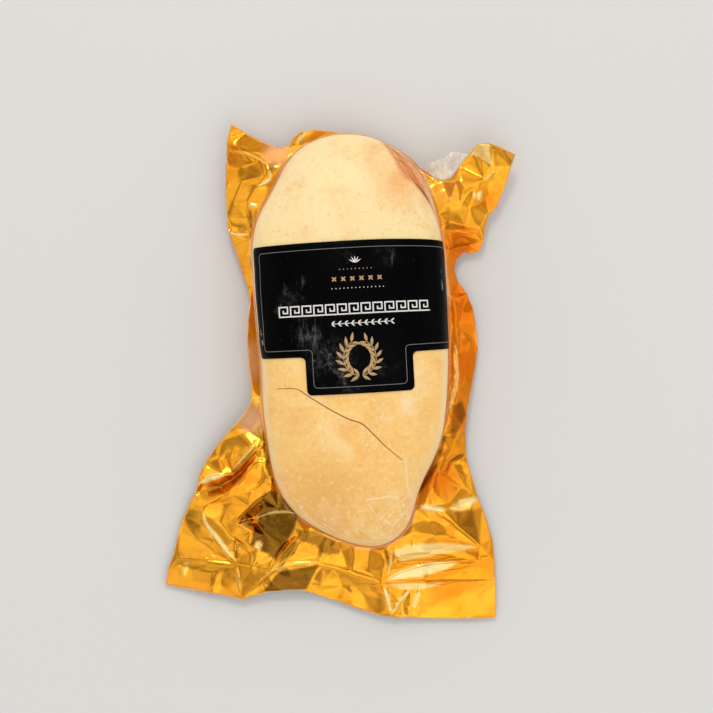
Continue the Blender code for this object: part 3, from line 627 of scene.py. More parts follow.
def foil_material(settings):
    """Metallised gold film: bright and saturated, with painted shade down in its folds, painted highlights
    on others, painted redder reflections in patches and fine scratches.
    """
    material, recipe = new_material("gold_foil_back")
    deep = recipe.noise(22, detail=3).ramp(0.42, 0.68)
    color = recipe.blend(deep, settings.gold, settings.gold_deep)
    # Painted reflection: redder gold in patches, for folds mirrored in one another; the painted shade turns
    # maroon there too
    red_reflection = recipe.patches(RED_REFLECTION_PATCHES).clamped()
    color = recipe.blend(red_reflection, color, settings.gold_red_reflection)
    # The lighter, yellower flecks are partly wear and partly painted sheen
    worn = recipe.noise(160, detail=6, rough=0.7, distort=0.5).ramp(0.60, 0.78)
    color = recipe.blend(worn * 0.2, color, (0.95, 0.50, 0.06))
    shade = recipe.blend(red_reflection, settings.gold_shade, (0.24, 0.026, 0.004))
    # Painted shade on the folds and panels marked shade
    color = recipe.blend(recipe.mark("shade"), color, shade)
    streaky = recipe.noise(160, detail=4, rough=0.6, stretch=(0.22, 1.0, 1.0), turn=math.radians(10))
    # Painted highlight: the shine marks turn the foil pale gold and less metallic
    shine = recipe.mark("shine") * (0.7 + streaky.ramp(0.38, 0.58) * 0.3)
    glare = shine ** 1.4
    veil_and_light = recipe.mark("veil_and_light")
    color = recipe.blend(shine, color, (1.0, 0.60, 0.10))
    color = recipe.blend(glare, color, settings.gold_pale)
    # Painted light: pale peach next to the lobe, over the shade at its foot
    color = recipe.blend(veil_and_light * 0.7, color, linear(255, 212, 140))
    cloudy = recipe.noise(60, detail=4, rough=0.6)
    roughness = settings.foil_roughness - 0.06 + cloudy * 0.14 + worn * 0.1
    waves = recipe.noise(55, detail=2, rough=0.5, distort=0.8)
    scratches = recipe.noise(260, detail=5, rough=0.65, stretch=(1.0, 0.18, 0.5))
    normal = recipe.bump(waves, 0.5 * MM, 0.5)
    normal = recipe.bump(scratches, 0.03 * MM, 0.5, normal)
    # Less metallic under the painted highlights and the painted light next to the lobe
    metallic = (1.0 - glare * 0.85 - veil_and_light * 0.6).clamped()
    show(recipe, recipe.surface(color, roughness, {
        "Metallic": metallic, "Normal": normal, "Coat Weight": 0.05, "Coat Roughness": 0.12}))
    return material


def film_material(settings):
    """Clear film: see-through and glossy, and milky where it is creased or wrinkled."""
    material, recipe = new_material("clear_film_front")
    wrinkles = recipe.noise(190, detail=5, rough=0.6, distort=1.2)
    streaks = recipe.noise(95, detail=4, rough=0.55, stretch=(1.0, 0.25, 1.0))
    strands = recipe.strands(0.011, 0.0008)
    normal = recipe.bump(wrinkles, 0.10 * MM, 0.45)
    normal = recipe.bump(streaks, 0.18 * MM, 0.35, normal)
    normal = recipe.bump(strands * recipe.mark("wrinkled"), 0.25 * MM, 0.8, normal)
    slant = recipe.add("ShaderNodeLayerWeight", values={"Blend": 0.5, "Normal": normal}, output="Facing")
    gloss = slant ** 5.0 * 0.05 + 0.002
    milk = recipe.mark("haze") * (0.3 + recipe.noise(420, detail=4, rough=0.7) * 1.4)
    milk = milk + recipe.mark("wrinkled") * strands.ramp(0.52, 0.68) * 0.05
    milk = milk + recipe.mark("flap") * (0.16 + recipe.noise(
        140, detail=5, rough=0.65, stretch=(1.0, 0.16, 1.0), turn=math.radians(-38)).ramp(0.42, 0.58) * 0.8)
    share = (gloss + milk).clamped()
    tint = recipe.blend(recipe.mark("flap"), linear(255, 228, 190), linear(240, 232, 220))
    shader = recipe.surface(tint, settings.film_roughness, {
        "Metallic": gloss / share, "IOR": 1.45, "Normal": normal})
    clear = recipe.add("ShaderNodeBsdfTransparent", values={"Color": (1.0, 0.995, 0.985, 1)})
    show(recipe, recipe.add("ShaderNodeMixShader", values={0: share, 1: clear, 2: shader}))
    return material


def label_material(settings):
    """Black label: deep black, with grey smudges of frost, fine scuffs and two thin glints."""
    material, recipe = new_material("black_label")
    frost = recipe.noise(330, detail=7, rough=0.8, distort=0.4)
    brushed = recipe.noise(300, detail=5, rough=0.7, stretch=(1.0, 0.2, 1.0), turn=math.radians(40))
    cloud = recipe.patches(FROST_PATCHES)
    holes = recipe.noise(75, detail=4, rough=0.6).ramp(0.40, 0.58)
    smudge = (cloud * holes).clamped()
    color = recipe.blend(
        (frost.ramp(0.42, 0.74) * smudge).clamped() * 0.8, settings.black, (0.16, 0.155, 0.15))
    flecks = frost.ramp(0.60, 0.70) * smudge
    color = recipe.blend(flecks, color, (0.34, 0.33, 0.32))
    strokes = brushed.ramp(0.52, 0.66) * recipe.patches(SCUFF_PATCHES)
    color = recipe.blend(strokes.clamped(), color, (0.20, 0.19, 0.185))
    dust = recipe.noise(900, detail=3, rough=0.6).ramp(0.67, 0.73)
    color = recipe.blend(dust * 0.08, color, (0.30, 0.29, 0.28))
    glint = recipe.beside((-45.4, 5.5), (-44.4, -2.2), 0.6) * 0.8
    glint = glint + recipe.beside((46.6, 38), (47.4, 24), 0.5) * 0.4
    glint = (glint * recipe.noise(330, detail=4).ramp(0.42, 0.62)).clamped()
    color = recipe.blend(glint, color, (0.62, 0.60, 0.58))
    roughness = 0.24 + smudge * 0.3 + recipe.noise(45, detail=4) * 0.12
    creases = recipe.noise(120, detail=4, rough=0.6, distort=0.7)
    normal = recipe.bump(creases, 0.10 * MM, 0.4)
    show(recipe, recipe.surface(color, roughness, {"Normal": normal, "Specular IOR Level": 0.03}))
    return material


def print_material(name, color, wear):
    """Light print on the label, thin and worn in places."""
    material, recipe = new_material(name)
    worn = recipe.noise(500, detail=5, rough=0.7).ramp(0.48, 0.70)
    tint = recipe.blend(worn * wear, color, tuple(part * 0.3 for part in color))
    roughness = 0.38 + recipe.noise(300, detail=2) * 0.15
    normal = recipe.bump(recipe.noise(900, detail=2), 0.01 * MM, 0.5)
    show(recipe, recipe.surface(tint, roughness, {"Normal": normal}))
    return material


def frost_material():
    """Tiny bubbles and flecks of frost under the film."""
    material, recipe = new_material("frost_flecks")
    tint = recipe.blend(recipe.noise(250), (0.93, 0.80, 0.60), (0.98, 0.90, 0.76))
    show(recipe, recipe.surface(tint, 0.35, {"Subsurface Weight": 0.1, "Subsurface Scale": 0.001}))
    return material


def floor_material(color):
    """A plain pale floor."""
    material, recipe = new_material("studio_floor")
    tint = recipe.blend(recipe.noise(3, detail=2), color, tuple(part * 0.97 for part in color))
    show(recipe, recipe.surface(tint, 0.7))
    return material


def merged_copy(name):
    """A CAD node as one connected mesh."""
    solid = bmesh.new()
    solid.from_mesh(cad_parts[name].data)
    bmesh.ops.remove_doubles(solid, verts=solid.verts, dist=MERGE)
    solid.normal_update()
    return solid


def connected(first, closed):
    """The faces that can be reached from the first one without crossing a closed face."""
    reached, waiting = {first}, [first]
    while waiting:
        for edge in waiting.pop().edges:
            for face in edge.link_faces:
                if face not in closed and face not in reached:
                    reached.add(face)
                    waiting.append(face)
    return reached


def one_side(name, upper):
    """The upper or the lower side of a CAD node that is a thin sheet, with its faces looking up."""
    sheet = merged_copy(name)
    thickness = min(edge.calc_length() for edge in sheet.edges)
    rim_edges = [edge for edge in sheet.edges if edge.calc_length() < thickness * RIM_MARGIN]
    rim = {face for edge in rim_edges for face in edge.link_faces}
    flattest = max(sheet.faces, key=lambda face: face.normal.z * face.calc_area() * (1 if upper else -1))
    kept = connected(flattest, rim)
    bmesh.ops.delete(sheet, geom=[face for face in sheet.faces if face not in kept], context="FACES")
    if not upper:
        bmesh.ops.reverse_faces(sheet, faces=sheet.faces)
    return sheet


def mark_creases(sheet, angle):
    """Marks as seams the edges where the sheet bends by more than the angle."""
    for edge in sheet.edges:
        edge.seam = len(edge.link_faces) == 2 and edge.calc_face_angle(0) > angle


def refine(mesh, rounds, chosen=None):
    """Splits every edge of the chosen faces in two, in several rounds, and leaves triangles."""
    for _ in range(rounds):
        faces = mesh.faces[:]
        if chosen:
            middles = np.array([face.calc_center_median()[:] for face in faces]) / MM
            faces = [face for face, picked in zip(faces, chosen(middles)) if picked]
        edges = list({edge for face in faces for edge in face.edges})
        bmesh.ops.subdivide_edges(mesh, edges=edges, cuts=1, use_grid_fill=True)
        large = [face for face in mesh.faces if len(face.verts) > 3]
        bmesh.ops.triangulate(mesh, faces=large)


def near_any(points, lines, reach):
    """True for the points that lie within reach of any of the lines, which may be one for each point."""
    return np.min([distance_to_line(points, line)[0] for line in lines], axis=0) < reach


def refine_near(mesh, lines, reach, longest):
    """Splits the edges within reach of the lines until none there is longer than that."""
    for _ in range(6):
        edges = [edge for edge in mesh.edges if edge.calc_length() > longest * MM]
        ends = np.array([[vert.co[:] for vert in edge.verts] for edge in edges]) / MM
        halves = np.linalg.norm(ends[:, 1] - ends[:, 0], axis=1) / 2
        close = near_any(ends.mean(axis=1), lines, reach + halves)
        if not close.any():
            break
        edges = [edge for edge, chosen in zip(edges, close) if chosen]
        bmesh.ops.subdivide_edges(mesh, edges=edges, cuts=1, use_grid_fill=True)
        bmesh.ops.triangulate(mesh, faces=[face for face in mesh.faces if len(face.verts) > 3])


def coordinates(mesh):
    """The points of a bmesh in millimetres."""
    return np.array([vert.co[:] for vert in mesh.verts]) / MM


def set_coordinates(mesh, points):
    for vert, point in zip(mesh.verts, points):
        vert.co = Vector(point) * MM
    mesh.normal_update()


def set_mark(mesh, name, values):
    """Keeps a number for each point, for the material to read."""
    layer = mesh.verts.layers.float.new(name)
    for vert, value in zip(mesh.verts, values):
        vert[layer] = float(value)


def relax(mesh, points, axes, free, rounds, hold):
    """Moves free points towards their neighbours along the axes. Points on a crease or on the rim
    follow their neighbours on it, and the others by the share hold."""
    ends = np.array([[vert.index for vert in edge.verts] for edge in mesh.edges])
    seam = np.array([edge.seam for edge in mesh.edges])
    rim = np.array([edge.is_boundary for edge in mesh.edges])
    special = np.zeros(len(points), bool)
    special[ends[seam | rim].ravel()] = True
    on_rim = np.zeros(len(points), bool)
    on_rim[ends[rim].ravel()] = True
    here = np.concatenate([ends[:, 0], ends[:, 1]])
    there = np.concatenate([ends[:, 1], ends[:, 0]])
    line = np.tile(seam | rim, 2)
    weight = np.where(special[here] & ~line, np.where(on_rim[here], 0.0, hold), 1.0)
    total = np.bincount(here, weight, len(points))
    result = points.copy()
    for _ in range(rounds):
        for axis in axes:
            middle = np.bincount(here, weight * result[there, axis], len(points)) / np.maximum(total, 1e-9)
            result[:, axis] += np.where(free & (total > 0), 0.5 * (middle - result[:, axis]), 0)
    return result


def new_object(name, data):
    """An object in the scene."""
    obj = bpy.data.objects.new(name, data)
    bpy.context.scene.collection.objects.link(obj)
    return obj


def mesh_data(name, mesh):
    """A bmesh as plain mesh data. The bmesh is freed."""
    data = bpy.data.meshes.new(name)
    mesh.to_mesh(data)
    mesh.free()
    return data


def flesh_copy():
    """The finished flesh as a bmesh."""
    flesh = bmesh.new()
    flesh.from_mesh(bpy.data.objects["liver_flesh"].data)
    return flesh


def finished(name, mesh, material, slot, *nodes):
    """Turns a bmesh into a piece that rides on the pack and stands for the CAD nodes."""
    return finished_data(name, mesh_data(name, mesh), material, slot, *nodes)


def finished_data(name, data, material, slot, *nodes):
    """Turns a mesh into such a piece."""
    data.materials.clear()
    data.materials.append(material)
    data.shade_smooth()
    piece = new_object(name, data)
    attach(piece, BODY)
    if nodes:
        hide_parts(*nodes)
    return piece


def thicken(piece, thickness, offset=1.0):
    """Gives a sheet its thickness: above it at offset 1, under it at -1."""
    solidify = piece.modifiers.new("thickness", "SOLIDIFY")
    solidify.thickness = thickness
    solidify.offset = offset
    solidify.use_rim = True


def plain_mesh(obj, name):
    """The evaluated object as a mesh of its own. The object is removed."""
    bpy.context.view_layer.update()
    evaluated = obj.evaluated_get(bpy.context.evaluated_depsgraph_get())
    data = bpy.data.meshes.new_from_object(evaluated)
    data.name = name
    bpy.data.objects.remove(obj, do_unlink=True)
    return data


def lobe_ring():
    """The outline of the lobe: angle, radius and length along it, in order."""
    solid = merged_copy("liver")
    points = coordinates(solid)
    solid.free()
    level = points[np.abs(points[:, 2] - LOBE_MIDDLE) < 0.05]
    angle = np.arctan2(level[:, 1], level[:, 0])
    order = angle.argsort()
    ring = level[order, :2]
    steps = np.linalg.norm(np.roll(ring, -1, axis=0) - ring, axis=1)
    return angle[order], np.hypot(*ring.T), np.concatenate([[0], np.cumsum(steps)[:-1]]), ring


RING_ANGLE, RING_RADIUS, RING_LENGTH, RING = lobe_ring()


def lobe_share(x, y):
    """0 at the middle of the lobe and 1 on its outline."""
    radius = np.interp(np.arctan2(y, x), RING_ANGLE, RING_RADIUS, period=2 * math.pi)
    return np.hypot(x, y) / radius


def distance_to_line(points, line, closed=False):
    """For each point its distance to the line seen from above, and how far along it (0 to 1)."""
    line = np.array(line, dtype=float)[:, :2]
    if closed:
        line = np.vstack([line, line[:1]])
    start, run = line[:-1], line[1:] - line[:-1]
    along = np.concatenate([[0], np.cumsum(np.linalg.norm(run, axis=1))])
    best = np.full(len(points), np.inf)
    place = np.zeros(len(points))
    for a, d, begin in zip(start, run, along):
        t = np.clip(((points[:, :2] - a) @ d) / (d @ d), 0, 1)
        distance = np.linalg.norm(points[:, :2] - a - t[:, None] * d, axis=1)
        closer = distance < best
        best = np.where(closer, distance, best)
        place = np.where(closer, begin + t * np.linalg.norm(d), place)
    return best, place / along[-1]


def curve_through(points, steps=8):
    """A smooth open line through the points."""
    given = np.array(points, dtype=float)
    padded = np.vstack([2 * given[0] - given[1], given, 2 * given[-1] - given[-2]])
    result = []
    for p0, p1, p2, p3 in zip(padded, padded[1:], padded[2:], padded[3:]):
        for t in np.arange(steps) / steps:
            result.append(0.5 * (2 * p1 + (p2 - p0) * t + (2 * p0 - 5 * p1 + 4 * p2 - p3) * t ** 2
                                 + (3 * p1 - p0 - 3 * p2 + p3) * t ** 3))
    return np.array(result + [given[-1]])


def scatter_value(column, row, seed):
    """A repeatable random number from 0 to 1 for each cell."""
    mixed = np.sin(column * 127.1 + row * 311.7 + seed * 74.7) * 43758.5453
    return mixed - np.floor(mixed)


def cell_bowls(x, y, spacing, seed):
    """Squared distance to the nearest of many scattered points: bowls that meet in sharp ridges."""
    column, row = np.floor(x / spacing), np.floor(y / spacing)
    best = np.full(len(x), np.inf)
    for i in (-1, 0, 1):
        for j in (-1, 0, 1):
            px = (column + i + scatter_value(column + i, row + j, seed)) * spacing
            py = (row + j + scatter_value(column + i, row + j, seed + 17)) * spacing
            best = np.minimum(best, (x - px) ** 2 + (y - py) ** 2)
    return best / spacing ** 2


def soft_noise(x, y, spacing, seed):
    """Smooth noise from -1 to 1 with features of the spacing."""
    column, row = np.floor(x / spacing), np.floor(y / spacing)
    u, v = x / spacing - column, y / spacing - row
    u, v = u * u * (3 - 2 * u), v * v * (3 - 2 * v)
    corner = [[scatter_value(column + i, row + j, seed) for j in (0, 1)] for i in (0, 1)]
    low = corner[0][0] * (1 - u) + corner[1][0] * u
    high = corner[0][1] * (1 - u) + corner[1][1] * u
    return 2 * (low * (1 - v) + high * v) - 1


def bell(distance, width):
    """1 on a line, falling smoothly to 0 at twice the half width."""
    return np.clip(1 - (distance / (2 * width)) ** 2, 0, 1) ** 2


def tent(distance, width):
    """1 on a line, falling straight to 0 at the width: a crisp crease."""
    return np.clip(1 - distance / width, 0, 1)


def patch_sum(x, y, patches):
    """The sum of several soft patches, each a middle, a radius and a strength."""
    result = np.zeros(len(x))
    for middle, radius, strength in patches:
        distance = np.hypot(x - middle[0], y - middle[1])
        result += strength * np.clip(1 - (distance / radius) ** 2, 0, 1)
    return result


def flange_relief(points, settings):
    """Height added to the flange of the foil: facets, gathers round the lobe, creases, seal lines."""
    x, y = points[:, 0], points[:, 1]
    from_lobe, along = distance_to_line(points, RING, closed=True)
    swing = RING_LENGTH[-1]
    lively = np.clip(0.12 + patch_sum(x, y, LIVELY_PATCHES), 0.12, 1)
    lively *= np.clip(0.7 + 0.5 * soft_noise(x, y, 22, settings.seed), 0.2, 1)
    lively *= 1 - np.clip(patch_sum(x, y, QUIET_PATCHES), 0, 1)
    facets = cell_bowls(x + 2.5 * soft_noise(x, y, 14, 3), y, 11.0, settings.seed) - 0.35
    small = cell_bowls(x, y + 1.5 * soft_noise(x, y, 8, 5), 5.2, settings.seed + 1) - 0.35
    relief = settings.crumple / MM * (facets + 0.2 * small) * lively
    wave = soft_noise(along * swing, from_lobe * 0.35, 3.6, settings.seed + 2)
    relief += settings.gathers / MM * (1 - np.abs(wave) * 2) * np.exp(-from_lobe / 6) * lively
    for lift, width, line in FINE_CREASES.values():
        distance, place = distance_to_line(points, curve_through(line))
        relief += lift * tent(distance, width) * np.sin(math.pi * np.clip(place, 0.02, 0.98)) ** 0.6
    for tone, strength, width, line in FOIL_LINES.values():
        distance, place = distance_to_line(points, curve_through(line))
        lift = FOLD_LIFT * strength * tent(distance, tapered(width, place) * 1.5)
        lift *= np.sin(math.pi * place) ** 0.5
        relief += lift if tone == "shine" else -lift
    return relief


def tapered(width, place):
    """The half width of a fold that runs out at both ends."""
    return width * (0.3 + 0.8 * np.sin(math.pi * place) ** 0.8)


def foil_tones(points):
    """How much painted shade and how much painted highlight the folds and panels put on the foil, for each
    point.
    """
    tones = {"shade": np.zeros(len(points)), "shine": np.zeros(len(points))}
    for tone, strength, width, line in FOIL_LINES.values():
        distance, place = distance_to_line(points, curve_through(line))
        ends = np.clip(np.minimum(place, 1 - place) / 0.12, 0.3, 1)
        tones[tone] = np.maximum(tones[tone], strength * bell(distance, tapered(width, place)) * ends)
    for tone, strength, outline in FOIL_PANELS.values():
        depth, _ = distance_to_line(points, outline, closed=True)
        depth = depth * inside(points[:, :2], np.array(outline))
        tones[tone] = np.maximum(tones[tone], strength * np.clip(depth / PANEL_BLUR, 0, 1))
    return tones


def foil_sheet(settings):
    """The foil as one fine sheet: the CAD folds, rounded a little, with the small relief on them."""
    sheet = one_side("gold_foil", upper=True)
    mark_creases(sheet, FOIL_BEND)

    refine(sheet, 1)
    refine(sheet, 2, lambda middles: lobe_share(middles[:, 0], middles[:, 1]) > 0.97)
    thin = [line for _, _, width, line in FOIL_LINES.values() if width < THIN_LINE]
    refine_near(sheet, thin, 0.8, 0.6)
    points = coordinates(sheet)
    share = lobe_share(points[:, 0], points[:, 1])
    flange = share > 1.0
    points = relax(sheet, points, (2,), flange, 36, 0.02)
    points[:, 2] += np.where(flange, flange_relief(points, settings), 0)
    points = relax(sheet, points, (2,), flange, 1, 0.3)
    lowest = settings.foil_thickness / MM + 0.1
    points[:, 2] = np.maximum(points[:, 2], lowest)
    set_coordinates(sheet, points)
    tones = foil_tones(points)
    for name, values in tones.items():
        set_mark(sheet, name, values * flange)
    from_lobe, _ = distance_to_line(points, RING, closed=True)
    # Painted light next to the lobe, left off where the folds carry painted shade
    veil_and_light = np.clip(1.2 - from_lobe / PAINTED_LIGHT_REACH, 0, 1) * (share > 0.98)
    set_mark(sheet, "veil_and_light", veil_and_light * (1 - np.clip(tones["shade"] * 1.4, 0, 1)))
    return sheet


def liver_surface(settings):
    """The flesh: the CAD lobe made smooth, with its fold, its crack and soft unevenness."""
    solid = merged_copy("liver")
    bmesh.ops.join_triangles(solid, faces=solid.faces, angle_face_threshold=math.pi,
                             angle_shape_threshold=math.pi)
    cage = new_object("lobe_cage", mesh_data("lobe_cage", solid))
    smooth = cage.modifiers.new("smooth", "SUBSURF")
    smooth.levels = 2
    smooth.render_levels = 2
    data = plain_mesh(cage, "liver_flesh")
    flesh = bmesh.new()
    flesh.from_mesh(data)
    bpy.data.meshes.remove(data)

    crack = curve_through(CRACK)
    fold = curve_through(SHOULDER_FOLD)
    creases = [(*crease[:-1], curve_through(crease[-1])) for crease in FILM_CREASES.values()]
    refine_near(flesh, [crack, fold], 1.0, 0.4)
    refine_near(flesh, [line for *_, line in creases], 0.5, 0.5)
    points = coordinates(flesh)
    share = lobe_share(points[:, 0], points[:, 1])
    flesh.normal_update()
    normals = np.array([vert.normal[:] for vert in flesh.verts])
    x, y, z = points.T
    top = np.clip((z - LOBE_MIDDLE) / 8, 0, 1)
    distance, place = distance_to_line(points, crack)
    width = settings.crack_width / MM * (0.45 + 0.75 * np.sin(math.pi * np.clip(place, 0.03, 1)) ** 0.5)
    gully = tent(distance, width)
    fold_distance, fold_place = distance_to_line(points, fold)
    fold_strength = 0.14 + 0.86 * np.exp(-((fold_place - 0.62) / 0.15) ** 2)
    fold_gully = bell(fold_distance, 0.5) * fold_strength
    streak, _ = distance_to_line(points, PALE_STREAK)
    dents = 0.35 * soft_noise(x, y, 21, 8) + 0.16 * soft_noise(x, y, 9, 9) + 0.07 * soft_noise(x, y, 4, 2)
    # Paleness of the film's creases on the flesh, partly painted highlight
    veil_and_light = np.zeros(len(points))
    for height, width, milk, line in creases:
        crease, _ = distance_to_line(points, line)
        veil_and_light = np.maximum(veil_and_light, milk * bell(crease, width) * top)
        dents += 0.4 * height * bell(crease, width)
    move = top * (dents - settings.crack_depth / MM * gully - 0.8 * fold_gully
                  + 0.10 * bell(distance, 1.2) - 0.25 * bell(streak, 1.6))
    set_coordinates(flesh, points + normals * move[:, None])
    # Marks for the painted shade down in the crack and the fold
    set_mark(flesh, "crack", np.clip(gully * 1.3, 0, 1) * top)
    set_mark(flesh, "fold", np.clip(fold_gully, 0, 1) * top)
    set_mark(flesh, "pale", bell(streak, 1.7) * top)
    set_mark(flesh, "band", shoulder_band(x, y) * top)
    set_mark(flesh, "curds", np.clip(0.18 + patch_sum(x, y, CURD_PATCHES), 0, 1))
    set_mark(flesh, "wrinkled", wrinkled_share(points, share) * (z > LOBE_MIDDLE - 8))
    set_mark(flesh, "veil_and_light", veil_and_light)
    set_ring_marks(flesh, points)
    return flesh


def shoulder_band(x, y):
    """1 in the band outside the fold at the right shoulder, paler at its lower end, 0 inside it."""
    edge = np.array(BAND_EDGE[::-1])
    beyond = np.clip((x - np.interp(y, edge[:, 1], edge[:, 0])) / 2.2, 0, 1) * (y > edge[0, 1])
    return beyond * (0.25 + 0.75 * np.clip((y - 70) / 12, 0, 1)) * np.clip((106 - y) / 5, 0, 1)


def set_ring_marks(mesh, points):
    """Keeps how far each point lies round the lobe and in from its outline, in metres."""
    inward, along = distance_to_line(points, RING, closed=True)
    set_mark(mesh, "around", along * RING_LENGTH[-1] * MM)
    set_mark(mesh, "inward", inward * MM)


def wrinkled_share(points, share):
    """How far the film is drawn into fine wrinkles that run round the lobe, for each point."""
    x, y, z = points.T
    near_rim = np.clip((share - 0.80) / 0.14, 0, 1) * (share < 1.03)
    upper_left = 0.60 * np.clip((-x - 2) / 14, 0, 1) * np.clip((y - 45) / 15, 0, 1)
    tip = 0.30 * np.clip((-68 - y) / 18, 0, 1)
    right = 0.40 * np.clip((share - 0.93) / 0.05, 0, 1) * (x > 0) * (y < 50)
    left = 0.45 * np.clip((share - 0.92) / 0.05, 0, 1) * (x < 0) * (y < -5)
    return near_rim * (upper_left + tip + right + left) + 0.25 * shoulder_band(x, y) * (share < 1.03)


def film_sheet(settings, foil, flesh):
    """The clear front: on the foil where there is foil, tight over the liver, pleated between."""
    sheet = one_side("clear_film", upper=False)
    mark_creases(sheet, FILM_BEND)

    refine(sheet, 1)
    refine(sheet, 1, lambda middles: lobe_share(middles[:, 0], middles[:, 1]) > 0.78)
    refine(sheet, 1, lambda middles: lobe_share(middles[:, 0], middles[:, 1]) > 0.94)
    points = coordinates(sheet)
    share = lobe_share(points[:, 0], points[:, 1])
    from_lobe, along = distance_to_line(points, RING, closed=True)
    flange = (share > 1.005) & ((points[:, 2] < WALL_FOOT) | (from_lobe > WALL_REACH))
    skin = ~flange
    points = relax(sheet, points, (2,), flange, 16, 0.02)
    points = relax(sheet, points, (0, 1, 2), skin, 12, 1.0)

    foil_tree = BVHTree.FromBMesh(foil)
    flesh_tree = BVHTree.FromBMesh(flesh)
    gap = settings.film_gap / MM
    flap = np.zeros(len(points))
    down = Vector((0, 0, -1))
    for i, (x, y, z) in enumerate(points):
        spot = Vector((x, y, z)) * MM
        if flange[i]:
            hit, normal, _, _ = foil_tree.ray_cast(Vector((spot.x, spot.y, RAY_START)), down)
            if hit is None:
                near, normal, _, distance = foil_tree.find_nearest(spot)
                if distance < 1.0 * MM:
                    hit = near
                else:
                    flap[i] = 1
            if hit is not None:
                points[i, 2] = hit.z / MM + gap / max(abs(normal.z), 0.35)
        else:
            near, normal, _, _ = flesh_tree.find_nearest(spot)
            tight = min(max((z - 17) / 7, 0), 1)
            away = (spot - near).length / MM
            lift = gap * tight + max(away, gap) * (1 - tight)
            points[i] = np.array(near + normal * lift * MM) / MM
    x, y, z = points.T
    set_coordinates(sheet, points)
    normals = np.array([vert.normal[:] for vert in sheet.verts])
    lift = np.zeros(len(points))
    side = np.clip((share - 0.92) / 0.06, 0, 1) * skin
    pleats = soft_noise(along * RING_LENGTH[-1], z * 0.2, 3.2, 21)
    lift += 0.12 * side * np.clip(1 - np.abs(pleats) * 2.2, 0, 1)
    lift += flap * 0.8 * soft_noise((x - y) * 0.8, (x + y) * 0.2, 3.5, 30)
    points = points + normals * lift[:, None]
    set_coordinates(sheet, points)
    cut_edge = np.array([vert.is_boundary for vert in sheet.verts])
    pink = FOIL_HAZE * patch_sum(x, y, HAZY_PATCHES) * flange
    gaps = np.min([distance_to_line(points, curve_through(FOIL_LINES[name][-1]))[0]
                   for name in ("left_gap", "right_gap", "under_tip")], axis=0)
    # Milky film at the lobe's foot, which also paints light over the dark line of shade there, left off the
    # gaps where shade is wanted
    rim = (RIM_HAZE + patch_sum(x, y, RIM_PATCHES)) * np.clip(1.4 - from_lobe / 1.1, 0, 1) * (share > 0.985)
    rim *= np.clip((LOBE_MIDDLE + 1 - z) / 6, 0, 1) * np.clip(gaps / 2 - 0.8, 0, 1)
    set_mark(sheet, "haze", np.maximum(CUT_EDGE_HAZE * cut_edge + pink, rim))
    set_mark(sheet, "wrinkled", wrinkled_share(points, share))
    set_mark(sheet, "flap", flap)
    set_ring_marks(sheet, points)
    return sheet


class LabelSurface:
    """Places points of the flat label on the pack; lengths across are measured over the lobe."""

    STEP = 1.0
    REACH = 60.0
    LOWEST = -80.0
    HIGHEST = 2.0
    SAMPLES = 110

    def __init__(self, flesh, lift):
        tree = BVHTree.FromBMesh(flesh)
        side = np.array([math.cos(LABEL_TURN), math.sin(LABEL_TURN)])
        upward = np.array([-side[1], side[0]])
        self.levels = np.arange(self.LOWEST, self.HIGHEST, self.STEP)
        self.across = np.arange(-self.REACH, self.REACH + self.STEP, self.STEP)
        rows = []
        for level in self.levels:
            foot = np.array(LABEL_TOP) + level * upward
            left = self.half_row(tree, foot, -side)
            right = self.half_row(tree, foot, side)
            rows.append(np.vstack([left[:0:-1], right]))
        grid = np.array(rows)
        over = np.gradient(grid, axis=1)
        up = np.gradient(grid, axis=0)
        normal = np.cross(over, up)
        self.normal = normal / np.maximum(np.linalg.norm(normal, axis=2, keepdims=True), 1e-9)
        self.grid = grid + self.normal * lift

    def half_row(self, tree, foot, heading):
        """Points at even steps over the lobe, from its middle line out to one side."""
        tries = np.linspace(0, LABEL_LEFT + LABEL_RIGHT, 300)
        ray = foot + np.outer(tries, heading)
        edge = np.interp(0.999, lobe_share(ray[:, 0], ray[:, 1]), tries)
        path = foot + np.outer(edge * np.sin(np.linspace(0, math.pi / 2, self.SAMPLES)), heading)
        heights = []
        for x, y in path:
            hit = tree.ray_cast(Vector((x * MM, y * MM, RAY_START)), Vector((0, 0, -1)))[0]
            heights.append(hit.z / MM if hit else LOBE_MIDDLE)
        heights = np.maximum(heights, LOBE_MIDDLE)
        steps = np.hypot(np.linalg.norm(np.diff(path, axis=0), axis=1), np.diff(heights))
        arc = np.concatenate([[0], np.cumsum(steps)])
        wanted = np.arange(0, self.REACH + self.STEP, self.STEP)
        return np.stack([np.interp(wanted, arc, row) for row in (path[:, 0], path[:, 1], heights)], axis=1)

    def place(self, across, level, lift=0.0):
        """Points on the label's underside, or lifted off it, for arrays of flat places."""
        level = level - LABEL_PINCH * (across / LABEL_LEFT) ** 2 * (1 + 2 * level / LABEL_BAR)
        level -= LABEL_DROP * np.clip(across / LABEL_RIGHT, 0, 1) ** 2 * np.clip(1 + level / LABEL_BAR, 0, 1)
        column = np.clip((across + self.REACH) / self.STEP, 0, len(self.across) - 1.001)
        row = np.clip((level - self.LOWEST) / self.STEP, 0, len(self.levels) - 1.001)
        i, j = np.floor(row).astype(int), np.floor(column).astype(int)
        u, v = (row - i)[:, None], (column - j)[:, None]

        def between(field):
            low = field[i, j] * (1 - v) + field[i, j + 1] * v
            high = field[i + 1, j] * (1 - v) + field[i + 1, j + 1] * v
            return low * (1 - u) + high * u

        normal = between(self.normal)
        normal /= np.linalg.norm(normal, axis=1, keepdims=True)
        return between(self.grid) + normal * lift


